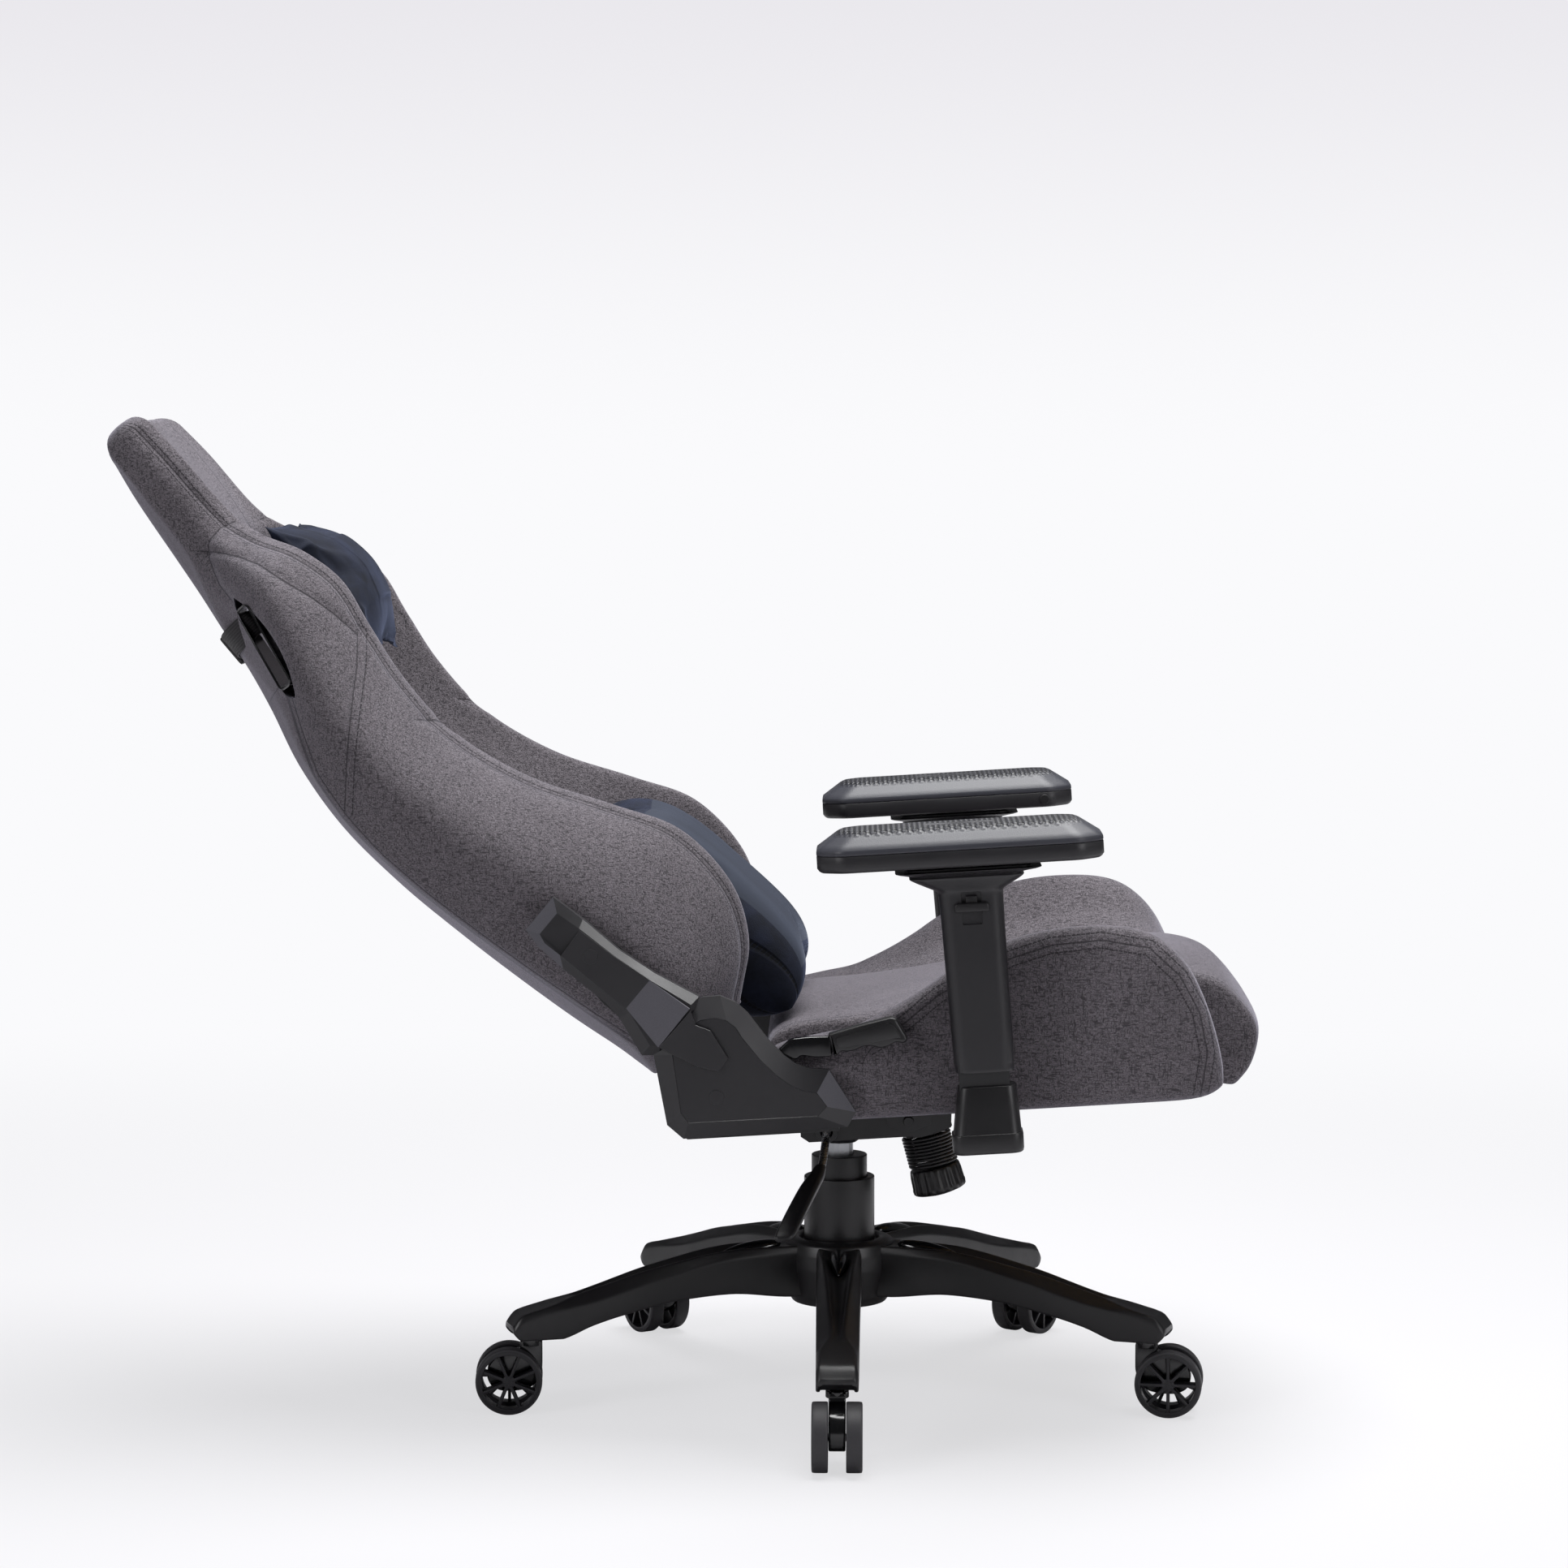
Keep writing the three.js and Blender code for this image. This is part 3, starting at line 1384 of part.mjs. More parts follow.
// the origin is on the floor, in the middle of the chair's bounding box
chair.updateMatrixWorld(true);
const bounds = new THREE.Box3().setFromObject(chair, true);
const centre = bounds.getCenter(new THREE.Vector3());
chair.position.set(-centre.x, -centre.y, -bounds.min.z);

export default chair;
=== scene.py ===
import json
import math
import bpy
import bmesh
import numpy as np
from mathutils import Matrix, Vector


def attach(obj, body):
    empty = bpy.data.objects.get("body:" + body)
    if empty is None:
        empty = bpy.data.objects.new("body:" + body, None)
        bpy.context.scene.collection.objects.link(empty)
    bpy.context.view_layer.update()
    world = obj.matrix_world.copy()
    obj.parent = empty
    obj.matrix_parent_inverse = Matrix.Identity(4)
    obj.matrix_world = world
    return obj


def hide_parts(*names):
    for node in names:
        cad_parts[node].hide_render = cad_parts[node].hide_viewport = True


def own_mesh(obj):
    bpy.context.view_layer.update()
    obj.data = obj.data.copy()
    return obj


bpy.ops.wm.read_factory_settings(use_empty=True)
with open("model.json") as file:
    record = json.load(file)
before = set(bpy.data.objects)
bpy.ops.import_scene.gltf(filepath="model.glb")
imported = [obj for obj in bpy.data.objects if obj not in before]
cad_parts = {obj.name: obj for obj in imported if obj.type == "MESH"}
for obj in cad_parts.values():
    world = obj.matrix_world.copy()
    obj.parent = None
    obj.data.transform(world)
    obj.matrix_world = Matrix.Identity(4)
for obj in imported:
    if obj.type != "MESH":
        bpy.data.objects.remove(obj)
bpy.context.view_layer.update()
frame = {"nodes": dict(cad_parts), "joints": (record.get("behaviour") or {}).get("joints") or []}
nodes = frame["nodes"]
jointAt = {j["name"]: np.array(j.get("pos_m") or (0, 0, 0), float) for j in frame["joints"]}
liftAxis = jointAt["seat_swivel"]
reclineAxis = jointAt["recline"]
sides = {"right": -1, "left": 1}
print("frame loaded")

# places: the chair's own frames, in mm, turned to metres in the row frame
placing = {"seatPitch": 3.5, "backLean": 40, "seatHeight": 265}


def onFloor(x, forward, up):
    # x across, forward along the floor, up from it
    x, forward, up = np.broadcast_arrays(np.asarray(x, float), forward, up)
    return np.stack([liftAxis[0] + x / 1000, liftAxis[1] - forward / 1000, up / 1000], axis=-1)


def onSeat(x, s, h):
    # s forward along the seat and h up from the mechanism, both turned by the seat's pitch
    a = math.radians(placing["seatPitch"])
    s, h = np.asarray(s, float), np.asarray(h, float)
    forward = s * math.cos(a) - h * math.sin(a)
    return onFloor(x, forward, placing["seatHeight"] + s * math.sin(a) + h * math.cos(a))


def onBack(x, p, q):
    # p forward and q up the back from the recline axis, both turned by the back's lean
    a = math.radians(placing["backLean"])
    p, q = np.asarray(p, float), np.asarray(q, float)
    forward = p * math.cos(a) - q * math.sin(a)
    up = p * math.sin(a) + q * math.cos(a)
    x, forward, up = np.broadcast_arrays(np.asarray(x, float), forward, up)
    return np.stack(
        [liftAxis[0] + x / 1000, reclineAxis[1] - forward / 1000, reclineAxis[2] + up / 1000], axis=-1,
    )


# shapes: grids of points worked out as whole arrays
def along(table, column, at):
    # cubic Hermite through one column of rows that start with their station; slopes are the harmonic mean of
    # the
    # spans beside a row, or level at a turning point, so that nothing overshoots
    rows = np.array(table, float)
    stations, values = rows[:, 0], rows[:, column]
    gaps = np.diff(stations)
    secant = np.diff(values) / gaps
    product = secant[1:] * secant[:-1]
    weight, other = 2 * gaps[1:] + gaps[:-1], gaps[1:] + 2 * gaps[:-1]
    safe = np.where(product > 0, 1, 0)
    first, second = np.where(safe, secant[:-1], 1), np.where(safe, secant[1:], 1)
    inner = safe * (weight + other) / (weight / first + other / second)
    slopes = np.concatenate([secant[:1], inner, secant[-1:]])
    at = np.clip(at, stations[0], stations[-1])
    i = np.clip(np.searchsorted(stations, at, side="right") - 1, 0, len(stations) - 2)
    h = gaps[i]
    t = (at - stations[i]) / h
    return (
        (2 * t**3 - 3 * t**2 + 1) * values[i] + (t**3 - 2 * t**2 + t) * h * slopes[i]
        + (3 * t**2 - 2 * t**3) * values[i + 1] + (t**3 - t**2) * h * slopes[i + 1]
    )


def curveThrough(points, count):
    # smooth curve through control points (k, ..., dims), count samples a span; tangents are the mean of the
    # spans beside a point
    p = np.asarray(points, float)
    step = np.sqrt(np.linalg.norm(np.diff(p, axis=0), axis=-1, keepdims=True)) + 1e-9
    rate = np.diff(p, axis=0) / step
    inner = (rate[1:] * step[:-1] + rate[:-1] * step[1:]) / (step[1:] + step[:-1])
    tangent = np.concatenate([rate[:1], inner, rate[-1:]])
    t = np.linspace(0, 1, count, endpoint=False).reshape((1, count) + (1,) * (p.ndim - 1))
    a, b, ta, tb, h = p[:-1, None], p[1:, None], tangent[:-1, None], tangent[1:, None], step[:, None]
    spans = (
        (2 * t**3 - 3 * t**2 + 1) * a + (t**3 - 2 * t**2 + t) * h * ta
        + (3 * t**2 - 2 * t**3) * b + (t**3 - t**2) * h * tb
    )
    spans = spans.reshape((-1,) + p.shape[1:])
    return np.concatenate([spans, p[-1:]])


def evenly(points, count, closed=False):
    # the same curve with count points at equal distances along it
    p = np.asarray(points, float)
    if closed:
        p = np.concatenate([p, p[:1]])
    length = np.concatenate([[0], np.cumsum(np.linalg.norm(np.diff(p, axis=0), axis=1))])
    at = np.linspace(0, length[-1], count, endpoint=not closed)
    return np.stack([np.interp(at, length, p[:, k]) for k in range(p.shape[1])], axis=1)


def soften(points, sigma, axis=0, closed=True):
    # gaussian smoothing along one axis of a grid, sigma in samples, which rounds its edges
    reach = int(math.ceil(3 * sigma))
    weight = np.exp(-0.5 * (np.arange(-reach, reach + 1) / sigma) ** 2)
    weight /= weight.sum()
    p = np.moveaxis(points, axis, 0)
    if closed:
        whole = np.concatenate([p[-reach:], p, p[:reach]])
    else:
        whole = np.concatenate([2 * p[:1] - p[1:reach + 1][::-1], p, 2 * p[-1:] - p[-reach - 1:-1][::-1]])
    out = sum(w * whole[k:k + len(p)] for k, w in enumerate(weight))
    return np.moveaxis(out, 0, axis)


def gridFaces(rows, cols, wrapRows=False, wrapCols=False):
    # quads between neighbouring points of a grid
    r = np.arange(rows if wrapRows else rows - 1)
    c = np.arange(cols if wrapCols else cols - 1)
    r, c = [v.ravel() for v in np.meshgrid(r, c, indexing="ij")]
    r2, c2 = (r + 1) % rows, (c + 1) % cols
    return np.stack([r * cols + c, r * cols + c2, r2 * cols + c2, r2 * cols + c], axis=1)


def grid(points, wrapRows=False, wrapCols=False, closeEnds=False, uv=None):
    # one part of a piece: a grid surface; closeEnds draws the first and last row in to their middles
    points = np.asarray(points, float)
    if closeEnds:
        first = np.broadcast_to(points[0].mean(axis=0), points[0].shape)
        last = np.broadcast_to(points[-1].mean(axis=0), points[-1].shape)
        points = np.concatenate([first[None], points, last[None]])
        if uv is not None:
            uv = np.concatenate([uv[:1], uv, uv[-1:]])
    rows, cols = points.shape[:2]
    faces = gridFaces(rows, cols, wrapRows, wrapCols)
    if uv is not None:
        uv = uv.reshape(rows * cols, -1)
    return {"points": points.reshape(-1, 3), "faces": faces, "uv": uv}


def revolve(profile, place, count=72):
    # A [radius, height] profile turned about an axis; place maps x, y, height to the row frame
    profile = np.asarray(profile, float)
    a = np.linspace(0, 2 * math.pi, count, endpoint=False)[:, None]
    x, y = profile[:, 0] * np.cos(a), profile[:, 0] * np.sin(a)
    z = np.broadcast_to(profile[:, 1], x.shape)
    return grid(place(x, y, z), wrapRows=True, wrapCols=True)


def rounded(profile, radius, closed=True, count=5):
    # A profile whose corners are cut back by radius and replaced by short arcs (quadratic curves)
    p = np.asarray(profile, float)
    before = np.roll(p, 1, axis=0) - p
    after = np.roll(p, -1, axis=0) - p
    lb, la = np.linalg.norm(before, axis=1, keepdims=True), np.linalg.norm(after, axis=1, keepdims=True)
    r = np.broadcast_to(np.asarray(radius, float).reshape(-1, 1), (len(p), 1))
    a = p + before / np.maximum(lb, 1e-9) * np.minimum(r, 0.45 * lb)
    b = p + after / np.maximum(la, 1e-9) * np.minimum(r, 0.45 * la)
    t = np.linspace(0, 1, count).reshape(1, -1, 1)
    arcs = (1 - t) ** 2 * a[:, None] + 2 * t * (1 - t) * p[:, None] + t**2 * b[:, None]
    if not closed:
        arcs[0], arcs[-1] = p[0], p[-1]
    return arcs.reshape(-1, 2)


def box(x0, x1, y0, y1):
    # the four corners of a rectangle, counter-clockwise from its low ones
    return np.array([[x0, y0], [x1, y0], [x1, y1], [x0, y1]], float)


def spun(r, w, turn):
    # x and y of a point at radius r and w to its left, turned about the middle
    return r * math.cos(turn) - w * math.sin(turn), r * math.sin(turn) + w * math.cos(turn)


def roundRing(width, length, radius, steps=8):
    # rounded rectangle as a closed ring of (x, y)
    a = np.linspace(0, math.pi / 2, steps)
    corners = []
    for k, (sx, sy) in enumerate(((1, 1), (-1, 1), (-1, -1), (1, -1))):
        turn = a + k * math.pi / 2
        corners.append(np.stack([
            sx * (width / 2 - radius) + radius * np.cos(turn),
            sy * (length / 2 - radius) + radius * np.sin(turn),
        ], axis=1))
    return np.concatenate(corners)


def tube(path, radius, sides=16, closed=False):
    # A round bar along a path; each ring is square to the path and turned as little as possible
    path = np.asarray(path, float)
    tangent = np.gradient(path, axis=0) if not closed else np.roll(
        path, -1, axis=0,
    ) - np.roll(path, 1, axis=0)
    tangent /= np.linalg.norm(tangent, axis=1, keepdims=True)
    spread = path.max(axis=0) - path.min(axis=0)
    steady = np.eye(3)[np.argmin(spread)]
    u = np.cross(tangent, steady)
    u /= np.linalg.norm(u, axis=1, keepdims=True)
    v = np.cross(tangent, u)
    a = np.linspace(0, 2 * math.pi, sides, endpoint=False)[None, :, None]
    radius = np.broadcast_to(np.asarray(radius, float), len(path)).reshape(-1, 1, 1)
    rings = path[:, None] + radius * (np.cos(a) * u[:, None] + np.sin(a) * v[:, None])
    return grid(rings, wrapRows=closed, wrapCols=True, closeEnds=not closed)


def meshPiece(name, parts, material, smoothAngle=40, weld=0.00001):
    # joins parts (each with a material slot, where a list is given) into one object at the origin, facing
    # out
    materials = material if isinstance(material, list) else [material]
    points = np.concatenate([p["points"] for p in parts])
    starts = np.cumsum([0] + [len(p["points"]) for p in parts[:-1]])
    quads = np.concatenate([p["faces"] + start for p, start in zip(parts, starts)])
    slots = np.concatenate([p.get("slots", np.full(len(p["faces"]), p.get("slot", 0))) for p in parts])
    caps = [(cap + start, p.get("slot", 0)) for p, start in zip(parts, starts) for cap in p.get("caps", [])]
    corners = np.concatenate([quads.ravel()] + [cap for cap, slot in caps])
    totals = np.concatenate([np.full(len(quads), 4), np.array([len(cap) for cap, slot in caps], int)])
    mesh = bpy.data.meshes.new(name)
    mesh.vertices.add(len(points))
    mesh.vertices.foreach_set("co", points.ravel())
    mesh.loops.add(len(corners))
    mesh.loops.foreach_set("vertex_index", corners)
    mesh.polygons.add(len(totals))
    mesh.polygons.foreach_set("loop_start", np.cumsum(totals) - totals)
    mesh.polygons.foreach_set("loop_total", totals)
    mesh.polygons.foreach_set(
        "material_index", np.concatenate([slots, np.array([slot for cap, slot in caps], int)]),
    )
    mesh.update(calc_edges=True)
    if any(p.get("uv") is not None for p in parts):
        wide = max(p["uv"].shape[1] for p in parts if p.get("uv") is not None)
        values = np.concatenate([
            p["uv"] if p.get("uv") is not None else np.full((len(p["points"]), wide), 90.0) for p in parts
        ])
        for k in range(0, wide, 2):
            layer = mesh.uv_layers.new(name=["panel", "seams", "extra", "more"][k // 2])
            layer.data.foreach_set("uv", values[corners, k:k + 2].ravel())
    for m in materials:
        mesh.materials.append(m)
    work = bmesh.new()
    work.from_mesh(mesh)
    bmesh.ops.remove_doubles(work, verts=work.verts, dist=weld)
    bmesh.ops.recalc_face_normals(work, faces=work.faces)
    work.to_mesh(mesh)
    work.free()
    mesh.polygons.foreach_set("use_smooth", np.ones(len(mesh.polygons), bool))
    if smoothAngle:
        mesh.set_sharp_from_angle(angle=math.radians(smoothAngle))
    piece = bpy.data.objects.new(name, mesh)
    bpy.context.scene.collection.objects.link(piece)
    return piece


def inset(outline, distance):
    # A closed (n, 2) outline moved inwards along its normals
    p = np.asarray(outline, float)
    ahead = np.roll(p, -1, axis=0) - p
    ahead /= np.linalg.norm(ahead, axis=1, keepdims=True) + 1e-12
    behind = np.roll(ahead, 1, axis=0)
    bend = ahead + behind
    bend /= np.linalg.norm(bend, axis=1, keepdims=True) + 1e-12
    area = 0.5 * (p[:, 0] * np.roll(p[:, 1], -1) - p[:, 1] * np.roll(p[:, 0], -1)).sum()
    normal = np.stack([-bend[:, 1], bend[:, 0]], axis=1) * (1 if area > 0 else -1)
    return p + normal * distance


def slab(outline, low, high, place, bevel=1.0, steps=3, slot=0):
    # an outline with thickness from low to high and round-edged faces; place maps (across, a, b) to the row
    # frame
    t = np.linspace(0, math.pi / 2, steps + 1)
    depth, shrink = bevel * (1 - np.cos(t)), bevel * (1 - np.sin(t))
    levels = np.concatenate([low + depth, (high - depth)[::-1]])
    shrinks = np.concatenate([shrink, shrink[::-1]])
    rings = np.stack([inset(outline, d) if d > 0 else np.asarray(outline, float) for d in shrinks])
    points = place(levels[:, None], rings[..., 0], rings[..., 1])
    part = grid(points, wrapCols=True)
    n = rings.shape[1]
    part["caps"] = [np.arange(n), np.arange(n) + (len(levels) - 1) * n]
    part["slot"] = slot
    return part


def tower(rows, place, corner, steps=8, slot=0, fine=1):
    # rounded rectangles [height, width, length, middle] one above another; place maps (x, y, height)
    rows = np.array(rows, float)
    if fine > 1:
        at = np.interp(
            np.linspace(0, len(rows) - 1, (len(rows) - 1) * fine + 1), np.arange(len(rows)), rows[:, 0],
        )
        rows = np.stack([at] + [along(rows, k, at) for k in range(1, rows.shape[1])], axis=1)
    corners = np.minimum(corner, rows[:, 1:3].min(axis=1) / 2 - 0.3)
    rings = np.stack([roundRing(r[1], r[2], c, steps) + [0, r[3]] for r, c in zip(rows, corners)])
    points = place(rings[..., 0], rings[..., 1], rows[:, 0][:, None])
    part = grid(points, wrapCols=True)
    n = rings.shape[1]
    part["caps"] = [np.arange(n), np.arange(n) + (len(rows) - 1) * n]
    part["slot"] = slot
    return part


def easedEdges(piece, width, segments, angle, harden=True):
    # a bevel of that width in mm on the edges sharper than the angle in degrees
    edge = piece.modifiers.new("edge", "BEVEL")
    edge.width, edge.segments, edge.limit_method = width / 1000, segments, "ANGLE"
    edge.angle_limit = math.radians(angle)
    edge.harden_normals = harden
    return piece


def settle(piece, body, slot, *replaced, bevel=0):
    # sets the body that carries a piece and the CAD nodes it stands for; its finish slot is not used
    if bevel:
        easedEdges(piece, bevel, 2, 35, harden=False)
    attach(piece, body)
    if replaced:
        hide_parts(*replaced)
    return piece


def dressNode(name, material, bevel):
    # gives a CAD node its finish and eases its edges with a weld and a bevel
    node = nodes[name]
    node.data.materials.clear()
    node.data.materials.append(material)
    node.modifiers.new("weld", "WELD").merge_threshold = 0.00002
    return easedEdges(node, bevel, 2, 25)


# materials
def colour(hexValue):
    # sRGB hex to linear RGBA: c / 12.92 near black, else ((c + 0.055) / 1.055) to the power 2.4
    c = np.array([int(hexValue[i:i + 2], 16) / 255 for i in (1, 3, 5)])
    c = np.where(c <= 0.04045, c / 12.92, ((c + 0.055) / 1.055) ** 2.4)
    return (*c, 1.0)


def newMaterial(name):
    # an empty material, and the function that adds a node to it
    material = bpy.data.materials.new(name)
    material.use_nodes = True
    tree = material.node_tree
    tree.nodes.clear()

    def add(kind, inputs=(), output=0, **settings):
        # sets the node's properties, sets or links its inputs, and gives back one output, or all of them for
        # None
        node = tree.nodes.new("ShaderNode" + kind)
        for key, value in settings.items():
            setattr(node, key, value)
        for key, value in inputs.items() if isinstance(inputs, dict) else enumerate(inputs):
            if isinstance(value, bpy.types.NodeSocket):
                tree.links.new(value, node.inputs[key])
            else:
                node.inputs[key].default_value = value
        return node.outputs if output is None else node.outputs[output]

    return material, add


def finishMaterial(add, shaderInputs):
    # one principled shader with those inputs, shown on the surface
    add("OutputMaterial", {"Surface": add("BsdfPrincipled", shaderInputs)}, None)


def lineMask(add, distance, centre, halfWidth):
    # 1 on a line at that signed distance, falling to 0 over half its width
    off = add("Math", (add("Math", (distance, -centre)), 0), operation="ABSOLUTE")
    return add("MapRange", (off, halfWidth * 0.5, halfWidth * 1.4, 1.0, 0.0))


def stitchDashes(add, run, pitch, fill=0.8):
    # 1 on the thread and 0 in the needle holes, along the run of a seam
    phase = add("Math", (add("Math", (run, pitch), operation="DIVIDE"), 0), operation="FRACT")
    off = add("Math", (add("Math", (phase, -0.5)), 0), operation="ABSOLUTE")
    return add("MapRange", (off, fill / 2 - 0.05, fill / 2 + 0.05, 1.0, 0.0))


# woven polyester in two yarns, dry and slightly fuzzy: charcoal with short dark and pale flecks along the
# threads. The flecks are drawn a few threads wide so that they show
weave = {
    "base": "#565155", "dark": "#211f22", "pale": "#7f7a80", "thread": 1.2, "fleckLength": 6.5,
    "fleckWidth": 1.35,
    "roughness": 0.92, "bump": 0.35, "stitch": "#1c1a1d", "stitchPitch": 4.5,
}


def wovenMaterial(name, seams=()):
    # seams: (uv map, channel, run channel, centre, half width, kind) with kind groove or stitch, distances
    # in mm
    material, add = newMaterial(name)
    place = add("TexCoord", output="Object")

    def flecks(stretch, low, high, seed):
        # noise stretched along one axis, from 0 at the low value to 1 at the high one
        turned = add("Mapping", {"Vector": place, "Scale": stretch, "Location": (seed, seed, seed)})
        noise = add("TexNoise", {"Vector": turned, "Scale": 1.0, "Detail": 1.0, "Roughness": 0.5})
        return add("MapRange", (noise, low, high, 0.0, 1.0))

    scale, run, across = [1000 / weave[k] for k in ("thread", "fleckLength", "fleckWidth")]
    base, dark, pale, stitch = [colour(weave[k]) for k in ("base", "dark", "pale", "stitch")]
    darkSide = flecks((run, across, across), 0.6, 0.68, 3.1)
    darkAlong = flecks((across, run, across), 0.56, 0.66, 7.7)
    darkUp = flecks((across, across, run), 0.59, 0.68, 21.4)
    paleAlong = flecks((across, run * 1.2, across), 0.54, 0.68, 12.3)
    grain = flecks((scale, scale, scale), 0.3, 0.7, 0.0)
    cloudy = flecks((14, 14, 14), 0.3, 0.7, 5.0)
    darks = add(
        "Math", (darkAlong, add("Math", (darkUp, darkSide), operation="MAXIMUM")), operation="MAXIMUM",
    )
    darks = add("Math", (darks, 0.72), operation="MULTIPLY")
    pales = add("Math", (paleAlong, 0.35), operation="MULTIPLY")
    shade = dark
    for factor, over in ((grain, pale), (0.62, base), (pales, pale), (darks, dark)):
        shade = add("Mix", {"Factor": factor, 6: shade, 7: over}, 2, data_type="RGBA")
    tone = add("MapRange", (cloudy, 0.0, 1.0, 0.94, 1.05))
    shade = add("VectorMath", {0: shade, 3: tone}, operation="SCALE")
    sunk = add("Math", (darks, -0.4), operation="MULTIPLY")
    height = add("Math", (add("Math", (grain, 0.5), operation="MULTIPLY"), sunk))
    maps = {
        uvName: add("SeparateXYZ", (add("UVMap", uv_map=uvName),), None)
        for uvName in dict.fromkeys([seam[0] for seam in seams] + [seam[2][0] for seam in seams])
    }
    seamMask = None
    for uvName, channel, (runMap, runChannel), centre, half, kind in seams:
        mask = lineMask(add, maps[uvName][channel], centre, half)
        if kind == "stitch":
            dashes = stitchDashes(add, maps[runMap][runChannel], weave["stitchPitch"])
            mask = add("Math", (mask, dashes), operation="MULTIPLY")
        mask = add("Math", (mask, 0.8 if kind == "stitch" else 0.7), operation="MULTIPLY")
        seamMask = mask if seamMask is None else add("Math", (seamMask, mask), operation="MAXIMUM")
        height = add("Math", (height, add("Math", (mask, -1.2), operation="MULTIPLY")))
    if seamMask is not None:
        shade = add("Mix", {"Factor": seamMask, 6: shade, 7: stitch}, 2, data_type="RGBA")
    relief = add("Bump", {"Strength": weave["bump"], "Distance": 0.0012, "Height": height})
    finishMaterial(add, {
        "Base Color": shade, "Roughness": weave["roughness"], "Normal": relief, "Specular IOR Level": 0.25,
        "Sheen Weight": 0.6, "Sheen Roughness": 0.42, "Sheen Tint": colour("#c6c4d3"),
    })
    return material


def pileMaterial(name, base, deep, sheen, sheenColour, bump=0.3, streak=(1, 1, 1), seam=None):
    # short-pile cloth: soft tone patches where the pile lies, and a strong sheen at grazing angles
    material, add = newMaterial(name)
    turned = add("Mapping", {"Vector": add("TexCoord", output="Object"), "Scale": streak})
    patch = add(
        "TexNoise", {"Vector": turned, "Scale": 26.0, "Detail": 5.0, "Roughness": 0.62, "Distortion": 0.4},
    )
    pile = add("TexNoise", {"Vector": turned, "Scale": 900.0, "Detail": 2.0})
    lie = add("MapRange", (patch, 0.36, 0.66, 0.0, 1.0))
    shade = add("Mix", {"Factor": lie, 6: colour(deep), 7: colour(base)}, 2, data_type="RGBA")
    broad, fine = [add("Math", pair, operation="MULTIPLY") for pair in ((patch, 1.5), (pile, 0.4))]
    height = add("Math", (broad, fine))
    if seam:
        uv = add("SeparateXYZ", (add("UVMap", uv_map="panel"),), None)
        line = lineMask(add, add("Math", (uv[0], 0), operation="ABSOLUTE"), seam, 0.9)
        stitched = add("Math", (line, stitchDashes(add, uv[1], 5.0)), operation="MULTIPLY")
        shade = add("Mix", {"Factor": stitched, 6: shade, 7: colour("#04050a")}, 2, data_type="RGBA")
        height = add("Math", (height, add("Math", (line, -2.0), operation="MULTIPLY")))
    relief = add("Bump", {"Strength": bump, "Distance": 0.002, "Height": height})
    finishMaterial(add, {
        "Base Color": shade, "Roughness": 0.85, "Normal": relief, "Sheen Weight": sheen,
        "Sheen Roughness": 0.35, "Sheen Tint": colour(sheenColour), "Specular IOR Level": 0.2,
    })
    return material


def plasticMaterial(name, base, roughness, grain=0.6, bump=0.12, spread=0.06, specular=0.5):
    # moulded plastic: an even tone, a fine eroded grain of the given size in mm, and slightly uneven gloss
    material, add = newMaterial(name)
    place = add("TexCoord", output="Object")
    fine = add("TexNoise", {"Vector": place, "Scale": 1000 / grain, "Detail": 2.0, "Roughness": 0.6})
    broad = add("TexNoise", {"Vector": place, "Scale": 18.0, "Detail": 3.0})
    gloss = add("MapRange", (broad, 0.3, 0.7, roughness - spread, roughness + spread))
    tone = add("MapRange", (fine, 0.2, 0.8, 0.9, 1.1))
    shade = add("VectorMath", {0: colour(base)[:3], 3: tone}, operation="SCALE")
    relief = add("Bump", {"Strength": bump, "Distance": 0.0004, "Height": fine})
    finishMaterial(add, {
        "Base Color": shade, "Roughness": gloss, "Normal": relief, "IOR": 1.5, "Specular IOR Level": specular,
    })
    return material


finish = {
    # glass-filled nylon, moulded with a fine texture: near black, broad soft highlights
    "nylon": plasticMaterial("mouldedNylon", "#131214", 0.4),
    # ABS covers with a spark-eroded surface: slightly blue charcoal, dull
    "cover": plasticMaterial("texturedAbsCover", "#1c1b1e", 0.42, grain=0.7, bump=0.2),
    # the same ABS, painted paler as a painted highlight on the facets that face the light above; dull, with a
    # coarser grain
    "facet": plasticMaterial("blastedAbs", "#4d4c52", 0.6, grain=0.9, bump=0.3, specular=0.35),
    # polished ABS of the slot trims and the caster hoods: black with clear reflections
    "gloss": plasticMaterial("polishedAbs", "#08080a", 0.14, bump=0.02, spread=0.03),
    # powder coat on pressed steel: black, slightly pebbled
    "blackSteel": plasticMaterial("powderCoatedSteel", "#141416", 0.42, grain=1.1, bump=0.2),
    # polyurethane tyre: dark grey, dull, lightly scuffed
    "tyre": plasticMaterial("polyurethaneTyre", "#2c2b2e", 0.55, grain=1.5, bump=0.15),
    # nylon wheel centre: black, with the mould's own dull gloss
    "wheel": plasticMaterial("wheelNylon", "#17161a", 0.42),
}
# groove: the colour between the scales, a painted shade in the recesses
padSettings = {"base": "#33343b", "groove": "#121215", "cell": 5.6, "depth": 0.9}


